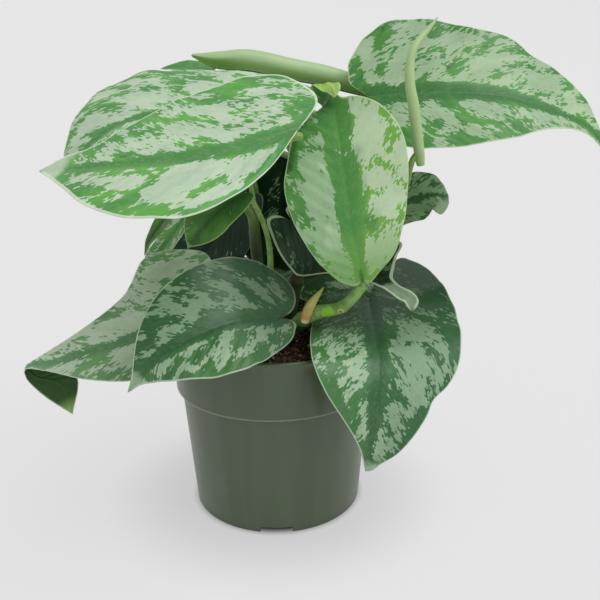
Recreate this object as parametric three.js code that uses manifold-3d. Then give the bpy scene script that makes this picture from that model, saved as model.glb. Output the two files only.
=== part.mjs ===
// A satin pothos (Scindapsus pictus) in its nursery pot. Millimetres, +Z up.
// The origin is the centre of the pot's base, on the surface that the pot stands on.
// -Y is the front of the plant: the side that its best leaves turn to.

import * as THREE from "three";
import * as BufferGeometryUtils from "three/addons/utils/BufferGeometryUtils.js";
import Module from "manifold-3d";

const wasm = await Module();
wasm.setup();

// ---- Driving dimensions -------------------------------------------------------------------

const POT_RIM_RADIUS = 52.5;
const POT_HEIGHT = 94.6;
const POT_BASE_RADIUS = 43.3;
const POT_NECK_RADIUS = 48.7;
const POT_BAND_BOTTOM = 65;
const POT_BAND_RADIUS = 51.3;
const POT_WALL = 1.4;
const POT_FLOOR = 2;
const POT_SIDES = 48;

const DRAIN_COUNT = 4;
const DRAIN_WIDTH = 16;
const DRAIN_HEIGHT = 3.2;
const DRAIN_DEPTH = 5;

const SOIL_LEVEL = 89;
const SOIL_RELIEF = 1.1;
const SOIL_SIDES = 36;
const SOIL_RINGS = 7;

const GAP = 0.3;
const BLADE_THICKNESS = 0.8;
const BLADE_ROWS = 18;
const BLADE_COLUMNS = 3;
const PETIOLE_TIP_RADIUS = 1.2;
const STEM_SIDES = 8;
const STEM_FOOT = 72;

// ---- Finishes -----------------------------------------------------------------------------

function finish(colour, roughness) {
  return new THREE.MeshStandardMaterial({ color: colour, roughness, metalness: 0 });
}

const POT_PLASTIC = finish(0x5c7a5f, 0.45);
const PEAT = finish(0x3a2a20, 0.95);
const YOUNG_LEAF = finish(0x9fc48e, 0.5);
const OLD_LEAF = finish(0x5f8f6c, 0.5);
const STEM_GREEN = finish(0x7fa552, 0.5);
const SHEATH_YELLOW = finish(0xcfc47a, 0.6);

// ---- Small helpers ------------------------------------------------------------------------

function vector(triple) {
  return new THREE.Vector3(...triple);
}

function smoothCurve(points) {
  return new THREE.CatmullRomCurve3(points.map(vector), false, "centripetal");
}

// A value that is a number, or a list spread evenly from base (0) to tip (1).
function along(value, share) {
  const list = Array.isArray(value) ? value : [value];
  const place = THREE.MathUtils.clamp(share, 0, 1) * (list.length - 1);
  const index = Math.min(Math.floor(place), Math.max(list.length - 2, 0));
  const next = Math.min(index + 1, list.length - 1);
  return THREE.MathUtils.lerp(list[index], list[next], place - index);
}

function directionAlong(directions, share) {
  const unit = directions.map((d) => vector(d).normalize());
  const part = (axis) => along(unit.map((d) => d[axis]), share);
  return new THREE.Vector3(part("x"), part("y"), part("z"));
}

function indexedGeometry(points, triangles) {
  const geometry = new THREE.BufferGeometry();
  const flat = points.flatMap((p) => [p.x, p.y, p.z]);
  geometry.setAttribute("position", new THREE.Float32BufferAttribute(flat, 3));
  geometry.setIndex(triangles.flat());
  return geometry;
}

function merged(geometry) {
  const bare = geometry.clone();
  bare.deleteAttribute("normal");
  bare.deleteAttribute("uv");
  return BufferGeometryUtils.mergeVertices(bare, 1e-4);
}

function toSolid(geometry) {
  const bare = merged(geometry);
  return new wasm.Manifold(
    new wasm.Mesh({
      numProp: 3,
      vertProperties: new Float32Array(bare.attributes.position.array),
      triVerts: new Uint32Array(bare.index.array),
    }),
  );
}

function fromSolid(solid) {
  const mesh = solid.getMesh();
  const geometry = new THREE.BufferGeometry();
  geometry.setAttribute("position", new THREE.BufferAttribute(new Float32Array(mesh.vertProperties), 3));
  geometry.setIndex(new THREE.BufferAttribute(new Uint32Array(mesh.triVerts), 1));
  return geometry;
}

function joined(geometries) {
  return geometries.map(toSolid).reduce((whole, piece) => whole.add(piece));
}

// ---- Leaf blades --------------------------------------------------------------------------
// A blade is bent about its midrib. `rib` runs from the petiole to the tip, `face` is the way
// the upper side looks, and pairs are [right, left] with the tip ahead and the upper side up.
// Widths of the two halves are in mm. `lobe`, `belly` and `drip` are shares of the rib's length:
// how far the base reaches behind the petiole, where the half is widest, and a thread-like tip.
// `taper` draws the outline in towards the tip. An `outline` of [share of the rib, share of the
// half width] pairs for a half is taken instead of these. `fold` is the angle in degrees at which
// a half leaves the midrib and `curl` how much further it turns up to its margin; `wave` is in mm.
// A leaf that folds over is given by `rails`: its left margin, rib and right margin, point for
// point.

const LEAVES = {
  leaf_top_left_front: {
    material: YOUNG_LEAF,
    rib: [
      [13, -68, 201], [-9, -76, 195], [-32, -82, 192], [-63, -80, 189], [-80, -74, 187],
      [-90, -70, 186],
    ],
    face: [[0.1, -0.45, 0.9], [-0.1, -0.4, 0.9]],
    half: [42, 32],
    fold: [6, 6],
    curl: [-6, -30],
    outline: [
      [
        [-0.06, 0.1], [-0.129, 0.267], [-0.142, 0.39], [-0.124, 0.587], [-0.073, 0.827], [0.024, 0.944],
        [0.125, 0.975], [0.288, 1.025], [0.43, 0.94], [0.559, 0.807], [0.698, 0.596], [0.824, 0.332],
        [0.93, 0.193],
      ],
      [
        [0.021, 0.081], [0.12, 0.36], [0.222, 0.608], [0.32, 0.791], [0.393, 0.938], [0.459, 0.993],
        [0.541, 0.931], [0.644, 0.848], [0.728, 0.71], [0.815, 0.435], [0.931, 0.158],
      ],
    ],
  },
  leaf_top_left_back: {
    material: YOUNG_LEAF,
    rib: [
      [10, -12, 207], [-13, -20, 207], [-38, -28, 205], [-64, -36, 200], [-78, -42, 190],
      [-86, -44, 180],
    ],
    face: [[0.1, -0.4, 0.9], [-0.4, -0.4, 0.8]],
    half: [39, 34],
    lobe: [0.09, -0.08],
    belly: [0.4, 0.4],
    taper: [-0.8, 0.5],
    curl: [-15, -10],
    outline: [
      [
        [-0.07, 0.1], [-0.1, 0.3], [-0.03, 0.5], [0.134, 0.68], [0.279, 0.892], [0.43, 1],
        [0.58, 1.105], [0.653, 1.099], [0.707, 1.028], [0.752, 0.84], [0.804, 0.712], [0.863, 0.556],
        [0.914, 0.417], [0.963, 0.294],
      ],
      null,
    ],
  },
  leaf_top_right: {
    material: YOUNG_LEAF,
    rib: [
      [46, 0, 208], [65.1, -4, 209.4], [93.5, -8, 209.2], [108.3, -8, 207.6], [118.5, -7, 205],
      [131.9, -4, 200.4], [148.7, 0, 193.1], [156.1, 2, 187.1], [163.2, 3, 177.6],
    ],
    face: [[-0.2, -0.7, 0.7], [0.2, -0.6, 0.75]],
    half: [34, 38],
    curl: [-8, 0],
    outline: [
      [
        [-0.06, 0.15], [-0.08, 0.34], [-0.03, 0.7], [0.06, 0.9], [0.15, 0.97], [0.205, 0.999],
        [0.27, 0.988], [0.333, 0.958], [0.39, 0.917], [0.449, 0.868], [0.524, 0.753], [0.591, 0.558],
        [0.681, 0.361], [0.775, 0.216], [0.843, 0.157], [0.92, 0.09],
      ],
      [
        [-0.07, 0.204], [-0.076, 0.342], [-0.077, 0.488], [-0.055, 0.643], [-0.029, 0.808],
        [0.011, 0.921], [0.054, 1.017], [0.1, 1.076], [0.166, 1.107], [0.258, 1.069], [0.375, 0.945],
        [0.473, 0.92], [0.566, 0.798], [0.682, 0.69], [0.766, 0.562], [0.836, 0.384], [0.878, 0.221],
        [0.93, 0.08],
      ],
    ],
  },
  leaf_centre: {
    material: YOUNG_LEAF,
    rib: [
      [40, -46, 137], [39, -48, 143], [36, -49, 155], [32, -41, 185], [29, -32, 205], [27, -28, 213],
      [26, -31, 216], [28, -34, 214], [29, -35, 210],
    ],
    face: [
      [0, -1, 0.1], [0, -1, 0.1], [0, -1, 0.1], [0, -0.9, 0.3], [-0.1, -0.85, 0.4], [-0.1, -0.9, 0.2],
      [-0.1, -0.9, -0.3], [0, -0.2, -1], [0, 1, 0],
    ],
    half: [27, 25.5],
    fold: [5, 5],
    wave: 0.5,
    outline: [
      [
        [-0.04, 0.015], [-0.08, 0.03], [-0.086, 0.12], [-0.041, 0.271], [0.033, 0.492], [0.101, 0.696],
        [0.236, 0.876], [0.359, 0.968], [0.48, 1.023], [0.573, 1.015], [0.662, 0.916], [0.73, 0.743],
        [0.767, 0.555], [0.786, 0.356], [0.8, 0.19], [0.86, 0.16], [0.95, 0.15],
      ],
      [
        [-0.04, 0.015], [-0.08, 0.03], [-0.09, 0.13], [-0.052, 0.359], [0.027, 0.575], [0.156, 0.772],
        [0.271, 0.958], [0.375, 1.037], [0.44, 1.04], [0.511, 0.978], [0.632, 0.838], [0.713, 0.72],
        [0.78, 0.7], [0.84, 0.52], [0.89, 0.3], [0.95, 0.16],
      ],
    ],
  },
  leaf_low_left_front: {
    material: OLD_LEAF,
    rib: [[4, -44, 114], [-15, -62, 119], [-31, -72, 116], [-48, -78, 108], [-60, -80, 94]],
    face: [[0.1, -0.75, 0.65], [-0.2, -0.8, 0.6]],
    half: [32, 23],
    outline: [
      [
        [-0.075, 0.051], [-0.13, 0.156], [-0.156, 0.276], [-0.159, 0.419], [-0.124, 0.587],
        [-0.023, 0.778], [0.115, 0.879], [0.265, 0.94], [0.376, 0.919], [0.458, 0.876], [0.553, 0.814],
        [0.634, 0.73], [0.697, 0.617], [0.751, 0.482], [0.797, 0.347], [0.849, 0.22], [0.911, 0.107],
      ],
      [
        [-0.062, 0.09], [-0.087, 0.175], [-0.058, 0.316], [-0.01, 0.495], [0.065, 0.659], [0.16, 0.806],
        [0.275, 0.956], [0.398, 1.04], [0.48, 1.016], [0.551, 0.947], [0.613, 0.834], [0.685, 0.715],
        [0.766, 0.582], [0.845, 0.366], [0.924, 0.124],
      ],
    ],
  },
  leaf_low_right: {
    material: OLD_LEAF,
    rib: [[48, 2, 107], [48, -41, 100.6], [48, -56, 93.5], [46, -64, 82], [44, -66, 63], [42, -62, 45]],
    face: [[-0.1, -0.6, 0.8], [0, -0.8, 0.6], [0.1, -0.98, 0.2], [0.1, -0.98, 0.1]],
    half: [30, 39.5],
    curl: [-8, 0],
    outline: [
      [
        [-0.05, 0.08], [-0.113, 0.258], [-0.102, 0.533], [-0.038, 0.767], [0.101, 0.902],
        [0.228, 0.975], [0.356, 1.018], [0.453, 1.032], [0.555, 1.015], [0.606, 0.932], [0.647, 0.807],
        [0.691, 0.646], [0.746, 0.468], [0.805, 0.307], [0.879, 0.15], [0.944, 0.066],
      ],
      [
        [-0.163, 0.131], [-0.289, 0.309], [-0.349, 0.544], [-0.285, 0.674], [-0.181, 0.816],
        [-0.033, 0.916], [0.105, 0.976], [0.206, 1.004], [0.327, 0.99], [0.432, 0.97], [0.511, 0.91],
        [0.572, 0.787], [0.627, 0.654], [0.701, 0.597], [0.769, 0.515], [0.829, 0.422], [0.901, 0.293],
        [0.951, 0.161], [0.991, 0.08],
      ],
    ],
  },
  leaf_low_left_folded: {
    material: OLD_LEAF,
    rails: [
      [
        [-26.9, -18, 128.2], [-15.9, -38, 117.7], [-33, -54, 98.6], [-58.3, -60, 91.1],
        [-81.4, -60, 91.4], [-101.5, -54, 93.4], [-112.6, -49, 92.2], [-113.9, -46, 86.6],
        [-108.6, -42, 76.1], [-97.3, -36, 62.9],
      ],
      [
        [-26.9, -18, 128.2], [-37.6, -26, 119.1], [-50.3, -36, 109.1], [-66.8, -41, 102.8],
        [-86.2, -45, 97.9], [-103.4, -47, 93.8], [-113.5, -46, 92.1], [-110.3, -43, 85.9],
        [-100.6, -39, 80.5], [-97.3, -36, 62.9],
      ],
      [
        [-26.9, -18, 128.2], [-34.2, -5, 134.8], [-61.1, -9, 134.2], [-70.9, -20, 118.4],
        [-90.6, -31, 104.4], [-105.8, -40, 96.4], [-113.3, -43, 91.8], [-103, -38, 91.5],
        [-93.6, -35, 82], [-97.3, -36, 62.9],
      ],
    ],
    face: [[0, -0.8, 0.6], [0, -0.8, 0.6]],
    half: [28, 28],
  },
  leaf_hanging: {
    material: OLD_LEAF,
    rib: [[-11, -32, 169], [-20, -36, 164], [-29, -40, 156], [-37, -40, 146]],
    face: [[-0.3, -0.9, 0.3], [-0.1, -0.9, 0.2]],
    half: [11, 9],
    belly: [0.5, 0.5],
    wave: 0.4,
    rows: 10,
    columns: 2,
  },
  leaf_inner: {
    material: OLD_LEAF,
    rib: [
      [9.6, -3.8, 149.6], [27, -13, 140.3], [42, -26, 132.6], [51.5, -36, 128.8], [57.1, -44, 126],
      [61.6, -48, 123.4], [62.8, -50, 118],
    ],
    face: [[0, -0.6, 0.75], [0, -0.7, 0.7], [0.3, -0.8, 0.5]],
    half: [25, 18],
    outline: [
      [
        [-0.1, 0.1], [-0.12, 0.3], [-0.013, 0.6], [0.109, 0.874], [0.27, 0.989], [0.347, 0.88],
        [0.456, 0.52], [0.576, 0.309], [0.714, 0.212], [0.83, 0.153], [0.913, 0.144], [0.975, 0.07],
      ],
      [
        [-0.08, 0.2], [-0.06, 0.5], [0.1, 0.85], [0.3, 1.08], [0.45, 1.2], [0.551, 1.2], [0.634, 1.137],
        [0.665, 0.75], [0.704, 0.427], [0.745, 0.19], [0.814, 0.143], [0.912, 0.19], [0.95, 0.22],
        [0.98, 0.12],
      ],
    ],
  },
  leaf_small_left: {
    material: OLD_LEAF,
    rib: [[-43, -14, 166], [-50, -18, 154], [-57, -22, 144.5], [-59.5, -24, 138.3]],
    face: [[-0.5, -0.5, 0.4], [-0.6, -0.5, 0.4]],
    half: [6, 6],
    wave: 0.3,
    rows: 10,
    columns: 2,
  },
  leaf_strip_left: {
    material: YOUNG_LEAF,
    rib: [[-43, 10, 150], [-56, 5, 133], [-65, 2, 121], [-77, 0, 109]],
    face: [[-0.5, -0.6, 0.6], [-0.5, -0.6, 0.6]],
    half: [8, 7],
    wave: 0.3,
    rows: 10,
    columns: 2,
  },
  leaf_right_back: {
    material: OLD_LEAF,
    rib: [
      [41.3, 34, 132.2], [58.1, 28, 145.9], [72.7, 22, 153.8], [83.8, 18, 156.6], [89.2, 16, 153.3],
    ],
    face: [[0, -0.6, 0.7], [0.2, -0.6, 0.7]],
    half: [18, 18],
    wave: 0,
    outline: [
      [
        [-0.05, 0.3], [0.05, 0.65], [0.3, 0.9], [0.605, 0.818], [0.764, 0.881], [0.9, 0.66],
        [1.003, 0.619], [1.015, 0.257],
      ],
      [
        [-0.05, 0.3], [0.05, 0.65], [0.3, 0.95], [0.5, 1], [0.66, 0.959], [0.773, 0.84], [0.84, 0.73],
        [0.882, 0.493], [0.923, 0.272], [0.958, 0.175],
      ],
    ],
  },
  leaf_back_left_low: {
    material: OLD_LEAF,
    rib: [[-12, 18, 158], [-20, 24, 147], [-35, 34, 127], [-51, 43, 106], [-57, 47, 86]],
    face: [[-0.2, -0.8, 0.6], [-0.5, -0.6, 0.3]],
    half: [27, 24],
    rows: 14,
  },
  leaf_back_right_low: {
    material: OLD_LEAF,
    rib: [[17, 25, 108], [30, 28, 113], [46, 33, 112], [60, 42, 104], [70, 52, 84]],
    face: [[0, -0.8, 0.6], [0.3, -0.6, 0.5]],
    half: [16.5, 12],
    rows: 14,
  },
  leaf_back_left_high: {
    material: YOUNG_LEAF,
    rib: [[9, 20, 184], [-13, 48, 184], [-40, 74, 177], [-69, 90, 164]],
    face: [[0, 0.2, 1], [-0.3, 0.4, 0.9]],
    half: [30, 30],
    rows: 14,
  },
  leaf_back_right_high: {
    material: YOUNG_LEAF,
    rib: [[39, 22, 195], [64, 50, 200], [96, 78, 200], [126, 98, 191]],
    face: [[0, 0.2, 1], [0.3, 0.4, 0.9]],
    half: [30, 30],
    rows: 14,
  },
  leaf_back_low: {
    material: OLD_LEAF,
    rib: [[1, 24, 102], [1, 38, 108], [5, 54, 111], [9, 70, 101], [12, 81, 80]],
    face: [[0, -0.3, 0.9], [0, 0.2, 0.9], [0, 1, 0.3]],
    half: [16, 26],
    belly: [0.38, 0.46],
    rows: 14,
  },
  leaf_back_middle: {
    material: OLD_LEAF,
    rib: [[9, 27, 173], [8, 31, 155], [4, 33, 134], [-1, 33, 112]],
    face: [[0.1, -0.9, 0.3], [0.1, -0.9, 0.1]],
    half: [26, 22],
    belly: [0.5, 0.46],
    taper: [-1, -1],
    rows: 14,
  },
  leaf_small_top: {
    material: YOUNG_LEAF,
    rib: [[-29.3, 29, 219.7], [-41.2, 28.5, 220.8], [-55, 28, 220.2]],
    face: [[0, -0.5, 0.8], [0, -0.5, 0.8]],
    half: [5, 5],
    wave: 0.2,
    rows: 10,
    columns: 2,
  },
};

const LEAF_DEFAULTS = {
  lobe: [0.09, 0.09],
  belly: [0.32, 0.32],
  taper: [0.5, 0.5],
  drip: 0,
  fold: [8, 8],
  curl: [0, 0],
  wave: 1,
  outline: [null, null],
  rails: null,
  rows: BLADE_ROWS,
  columns: BLADE_COLUMNS,
};

// Half a heart-shaped outline as [share of the rib, share of the half width] pairs:
// out round the basal lobe, over the belly, and in to the pointed tip.
function halfOutline(lobe, belly, taper, drip) {
  const rest = 1 - belly;
  const body = [
    [0, 0],
    [-0.7 * lobe, 0.12],
    [-lobe, 0.34],
    [0.25 * belly - 0.6 * lobe, 0.74],
    [belly, 1],
    [belly + 0.36 * rest, 0.91 - 0.05 * taper],
    [belly + 0.62 * rest, 0.68 - 0.13 * taper],
    [belly + 0.8 * rest, 0.42 - 0.17 * taper],
  ];
  if (drip === 0) {
    return [...body, [belly + 0.91 * rest, 0.2 - 0.13 * taper], [1, 0]];
  }
  const shoulder = 1 - drip;
  const shortened = body.map(([u, v]) => [u > 0 ? (u * shoulder) / 0.88 : u, v]);
  const thread = [
    [shoulder + 0.005, 0.3],
    [shoulder + 0.03, 0.16],
    [shoulder + 0.35 * drip, 0.135],
    [shoulder + 0.75 * drip, 0.11],
    [1, 0],
  ];
  return [...shortened, ...thread];
}

// The point of the blade's middle surface at u mm along the rib and v mm across it.
// Each half turns evenly from its fold angle, so across it lies on an arc.
function bladePoint(leaf, u, v) {
  const share = THREE.MathUtils.clamp(u / leaf.length, 0, 1);
  const tangent = leaf.curve.getTangentAt(share);
  const centre = leaf.curve.getPointAt(share).addScaledVector(tangent, u - share * leaf.length);
  const facing = directionAlong(leaf.face, share);
  const normal = facing.addScaledVector(tangent, -facing.dot(tangent)).normalize();
  const side = new THREE.Vector3().crossVectors(tangent, normal);
  const half = v >= 0 ? 0 : 1;
  const width = leaf.half[half];
  const across = Math.abs(v) / width;
  const fold = THREE.MathUtils.degToRad(along(leaf.fold[half], share));
  const curl = THREE.MathUtils.degToRad(along(leaf.curl[half], share)) || 1e-4;
  const turned = fold + curl * across;
  const out = ((width / curl) * (Math.sin(turned) - Math.sin(fold))) * Math.sign(v);
  const ripple = leaf.wave * Math.sin(2 * Math.PI * 2.5 * share + 1.3 * half) * across ** 2;
  const up = (width / curl) * (Math.cos(fold) - Math.cos(turned)) + ripple;
  return centre.addScaledVector(side, out).addScaledVector(normal, up);
}

function completeLeaf(shape) {
  const rib = shape.rails ? shape.rails[1] : shape.rib;
  const curve = smoothCurve(rib);
  return { ...LEAF_DEFAULTS, ...shape, rib, curve, length: curve.getLength() };
}

// The margin of one half in mm along and across: its own outline, or half a heart.
function marginCurve(leaf, half) {
  const own = leaf.outline[half];
  const outline = own
    ? [[0, 0], ...own, [1, 0]]
    : halfOutline(leaf.lobe[half], leaf.belly[half], leaf.taper[half], leaf.drip);
  return smoothCurve(outline.map(([u, v]) => [u * leaf.length, v * leaf.half[half], 0]));
}

// A row fans out from a point on the rib to a point on each margin.
function heartRow(leaf, margins, share, reaches) {
  const foot = leaf.length * (0.3 * share + 0.7 * share ** 2);
  return reaches.map((reach) => {
    const edge = margins[reach >= 0 ? 0 : 1].getPointAt(share);
    const u = foot + (edge.x - foot) * Math.abs(reach) ** 1.15;
    return bladePoint(leaf, u, edge.y * reach);
  });
}

// A row is the parabola through the left margin, the rib and the right margin.
function railedRow(rails, share, reaches) {
  const [left, middle, right] = rails.map((rail) => rail.getPoint(share));
  return reaches.map((reach) =>
    new THREE.Vector3()
      .addScaledVector(left, (reach * (reach - 1)) / 2)
      .addScaledVector(middle, 1 - reach ** 2)
      .addScaledVector(right, (reach * (reach + 1)) / 2),
  );
}

// Rows run from the sinus to the tip, columns from the left margin to the right.
function bladeGrid(leaf) {
  const reaches = Array.from({ length: 2 * leaf.columns + 1 }, (_, i) => i / leaf.columns - 1);
  const margins = [0, 1].map((half) => marginCurve(leaf, half));
  const rails = leaf.rails?.map(smoothCurve);
  return Array.from({ length: leaf.rows + 1 }, (_, row) => {
    const share = row / leaf.rows;
    return rails ? railedRow(rails, share, reaches) : heartRow(leaf, margins, share, reaches);
  });
}

// Triangles of one side: a fan at each end and strips between, alike on both faces.
function bladeTriangles({ rows, columns }) {
  const width = 2 * columns + 1;
  const last = (rows - 1) * width + 1;
  const at = (row, column) => 1 + (row - 1) * width + column;
  const triangles = [];
  for (let c = 0; c < width - 1; c += 1) {
    triangles.push([0, at(1, c), at(1, c + 1)]);
    for (let r = 1; r < rows - 1; r += 1) {
      triangles.push([at(r, c), at(r + 1, c), at(r, c + 1)]);
      triangles.push([at(r, c + 1), at(r + 1, c), at(r + 1, c + 1)]);
    }
    triangles.push([at(rows - 1, c), last, at(rows - 1, c + 1)]);
  }
  return triangles;
}

function rimLoop({ rows, columns }) {
  const width = 2 * columns + 1;
  const last = (rows - 1) * width + 1;
  const left = Array.from({ length: rows - 1 }, (_, row) => 1 + row * width);
  const right = left.map((first) => first + width - 1);
  return [0, ...left, last, ...right.reverse()];
}

function pointNormals(points, triangles) {
  const normals = points.map(() => new THREE.Vector3());
  for (const [a, b, c] of triangles) {
    const ab = points[b].clone().sub(points[a]);
    const ac = points[c].clone().sub(points[a]);
    const area = ab.cross(ac);
    [a, b, c].forEach((corner) => normals[corner].add(area));
  }
  return normals.map((normal) => normal.normalize());
}

function bladeGeometry(leaf) {
  const rows = bladeGrid(leaf);
  const middle = [rows[0][0], ...rows.slice(1, -1).flat(), rows[leaf.rows][0]];
  const faces = bladeTriangles(leaf);
  const normals = pointNormals(middle, faces);
  const shifted = (distance) => middle.map((p, i) => p.clone().addScaledVector(normals[i], distance));
  const count = middle.length;
  const under = faces.map(([a, b, c]) => [a + count, c + count, b + count]);
  const loop = rimLoop(leaf);
  const walls = loop.flatMap((a, i) => {
    const b = loop[(i + 1) % loop.length];
    return [[b, a, a + count], [b, a + count, b + count]];
  });
  const points = [...shifted(BLADE_THICKNESS / 2), ...shifted(-BLADE_THICKNESS / 2)];
  return indexedGeometry(points, [...faces, ...under, ...walls]);
}

// ---- Round tapering tubes: stems, petioles, rolled leaves ---------------------------------

function taperedTube(points, radii, { sides = STEM_SIDES, steps = 4 * (points.length - 1) } = {}) {
  const curve = smoothCurve(points);
  const frames = curve.computeFrenetFrames(steps, false);
  const corners = [];
  for (let step = 0; step <= steps; step += 1) {
    const share = step / steps;
    const centre = curve.getPointAt(share);
    for (let side = 0; side < sides; side += 1) {
      const angle = (2 * Math.PI * side) / sides;
      const radius = along(radii, share);
      const corner = centre.clone();
      corner.addScaledVector(frames.normals[step], radius * Math.cos(angle));
      corner.addScaledVector(frames.binormals[step], radius * Math.sin(angle));
      corners.push(corner);
    }
  }
  const triangles = [];
  for (let step = 0; step < steps; step += 1) {
    for (let side = 0; side < sides; side += 1) {
      const a = step * sides + side;
      const b = step * sides + ((side + 1) % sides);
      triangles.push([a, b, a + sides], [b, b + sides, a + sides]);
    }
  }
  const foot = corners.length;
  const top = foot + 1;
  corners.push(curve.getPointAt(0), curve.getPointAt(1));
  for (let side = 0; side < sides; side += 1) {
    const next = (side + 1) % sides;
    triangles.push([foot, next, side]);
    triangles.push([top, steps * sides + side, steps * sides + next]);
  }
  return indexedGeometry(corners, triangles);
}

// The last stretch of a petiole: it runs in under the blade, a gap below its middle.
function endUnder(leafName) {
  const leaf = completeLeaf(LEAVES[leafName]);
  const tangent = leaf.curve.getTangentAt(0);
  const facing = directionAlong(leaf.face, 0);
  const normal = facing.addScaledVector(tangent, -facing.dot(tangent)).normalize();
  const drop = BLADE_THICKNESS / 2 + GAP + PETIOLE_TIP_RADIUS + 0.2;
  const base = vector(leaf.rib[0]);
  const under = (ahead, below) =>
    base.clone().addScaledVector(tangent, ahead).addScaledVector(normal, -below).toArray();
  return [under(-1, drop + 2.5), under(2, drop + 0.3), under(4.5, drop)];
}

// The last stretch of a petiole that stops just short of the end of a rolled leaf; without an
// end the petiole comes to the leaf's side, where its own route already ends.
function endAgainst(points, end) {
  if (end === null) {
    return [];
  }
  const direction = smoothCurve(points).getTangentAt(end);
  const outward = end === 0 ? -1 : 1;
  const place = vector(points[end === 0 ? 0 : points.length - 1]);
  const beyond = (distance) => place.clone().addScaledVector(direction, outward * distance).toArray();
  return [beyond(6), beyond(2), beyond(GAP + 0.1)];
}

function petiole(points, end, footRadius = 1.9) {
  const route = [...points, ...end];
  const radii = [footRadius, 0.8 * footRadius, PETIOLE_TIP_RADIUS, PETIOLE_TIP_RADIUS];
  return taperedTube(route, radii, { sides: 6, steps: 2 * (route.length - 1) });
}

// ---- Stems and their petioles -------------------------------------------------------------

const STEMS = {
  stem_front: {
    trunk: [
      [6, -12, STEM_FOOT], [6, -12, 82], [6.5, -12.5, 92], [13, -24, 105], [22, -32, 112.2],
      [31.5, -36, 115.6], [37, -40, 121.5], [41, -42, 128],
    ],
    radii: [3.8, 3.8, 3.5, 2.8, 2.4],
    petioles: {
      leaf_centre: [[37, -40, 121.5], [41, -42, 128]],
      leaf_low_right: [[7, -13, 94], [20, -4, 97], [36, 3, 99]],
    },
  },
  stem_back: {
    trunk: [
      [6, 6, STEM_FOOT], [6, 6, 82], [6.5, 6.2, 92], [10, 8, 110], [20, 8, 150], [28, 5, 185],
      [36, 6, 203],
    ],
    radii: [3.6, 3.6, 3.2, 2.6, 2.2],
    petioles: {
      leaf_top_left_front: [[23, 5, 165], [15, -8, 178], [5, -26, 186], [3, -44, 191], [9, -60, 196]],
      leaf_top_left_back: [[28, 4, 187], [24, 0, 198], [18, -6, 202]],
      leaf_top_right: [[32, 5, 196], [38, 6, 202]],
      leaf_back_middle: [[26, 6, 177], [19, 17, 180], [10, 29, 180]],
      leaf_right_back: [[12, 8, 118], [26, 16, 118], [37, 28, 121]],
      leaf_inner: [[15, 7, 130], [8, 5, 142]],
      leaf_back_left_high: [[25, 5, 172], [15, 14, 180]],
      leaf_back_right_high: [[30, 4, 187], [36, 14, 190]],
      leaf_back_low: [[7, 6.5, 94], [3, 15, 94.5]],
      leaf_back_right_low: [[7.5, 7, 95], [12, 16, 94], [17, 24, 98]],
      leaf_small_top: [[34, 6, 200], [31, 25, 203], [14, 33, 211], [-8, 33, 219]],
    },
  },
  stem_left: {
    trunk: [
      [-5, -3, STEM_FOOT], [-5, -3, 82], [-5, -3.3, 92], [-6, -2, 110], [-9, 0, 135], [-11, 2, 152],
      [-20, 4, 162], [-34, 4, 160],
    ],
    radii: [3.6, 3.4, 2.6, 2, 1.6],
    petioles: {
      leaf_hanging: [
        [-5, -4, 103], [-1, -17, 128], [-1.5, -24, 145.7], [-3.9, -27, 155.4], [-6.5, -28, 161.7],
      ],
      leaf_low_left_front: [[-5, -4, 98], [-1, -16, 101], [4, -32, 106]],
      leaf_low_left_folded: [[-5.5, -3.5, 104], [-12, -12, 118]],
      leaf_strip_left: [[-28, 4.2, 161.5], [-36, 9, 158]],
      leaf_small_left: [[-30, 4, 161], [-37, -6, 166]],
      leaf_back_left_low: [[-6.2, -2.5, 112], [-8, 4, 145], [-11, 10, 168], [-12, 17, 174]],
    },
  },
};

const ROLLED_LEAVES = {
  leaf_rolled: {
    points: [
      [-38.3, 20, 226.7], [-26.8, 20, 224.3], [-9.8, 20, 223.8], [9.5, 20, 219.6], [26.6, 21, 216.1],
      [39, 23, 212.5], [50.1, 26, 209.3],
    ],
    radii: [0.5, 4.2, 5.4, 5.6, 5.6, 5.5, 5.4, 5.2, 4.8],
    stem: "stem_back",
    petiole: [[34, 6, 200], [44, 10, 202], [56, 20, 203]],
    end: 1,
  },
  leaf_spear: {
    points: [
      [66.7, -36, 180.7], [65.6, -37, 187.5], [62.9, -36, 206.1], [61.3, -34, 215.1],
      [61.4, -31, 224.1], [62.9, -29, 229.4], [66.1, -26, 233.8], [69.6, -23, 237.3],
      [74.3, -20, 242.6],
    ],
    radii: [1.9, 2.5, 2.5, 2.5, 2.55, 2.5, 2.3, 2.2, 1.9, 1.65, 1.4, 0.95, 0.2],
    stem: "stem_back",
    petiole: [
      [20, 6, 150], [36, 3, 153], [50, -12, 160], [61.2, -31, 173.3], [62.2, -35, 180.2],
      [62.9, -36.5, 183.7],
    ],
    end: null,
  },
};

const SHEATHS = {
  sheath_front: {
    points: [[15, -33.5, 107.9], [17.6, -36.5, 116.8], [23.8, -39, 126.5]],
    radii: [1.8, 2.5, 2.4, 1.5, 0.3],
  },
};

function stemGeometry(stemName) {
  const { trunk, radii, petioles } = STEMS[stemName];
  const rolled = Object.values(ROLLED_LEAVES).filter((leaf) => leaf.stem === stemName);
  return fromSolid(
    joined([
      taperedTube(trunk, radii),
      ...Object.entries(petioles).map(([leafName, points]) => petiole(points, endUnder(leafName))),
      ...rolled.map((leaf) => petiole(leaf.petiole, endAgainst(leaf.points, leaf.end))),
    ]),
  );
}

// ---- Pot and soil -------------------------------------------------------------------------

function turned(profile, sides) {
  const outline = profile.map(([radius, height]) => new THREE.Vector2(radius, height));
  const geometry = new THREE.LatheGeometry(outline, sides);
  geometry.rotateX(Math.PI / 2);
  return geometry;
}

const POT_BAND_WALL_RADIUS = POT_RIM_RADIUS - 0.4;

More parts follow.
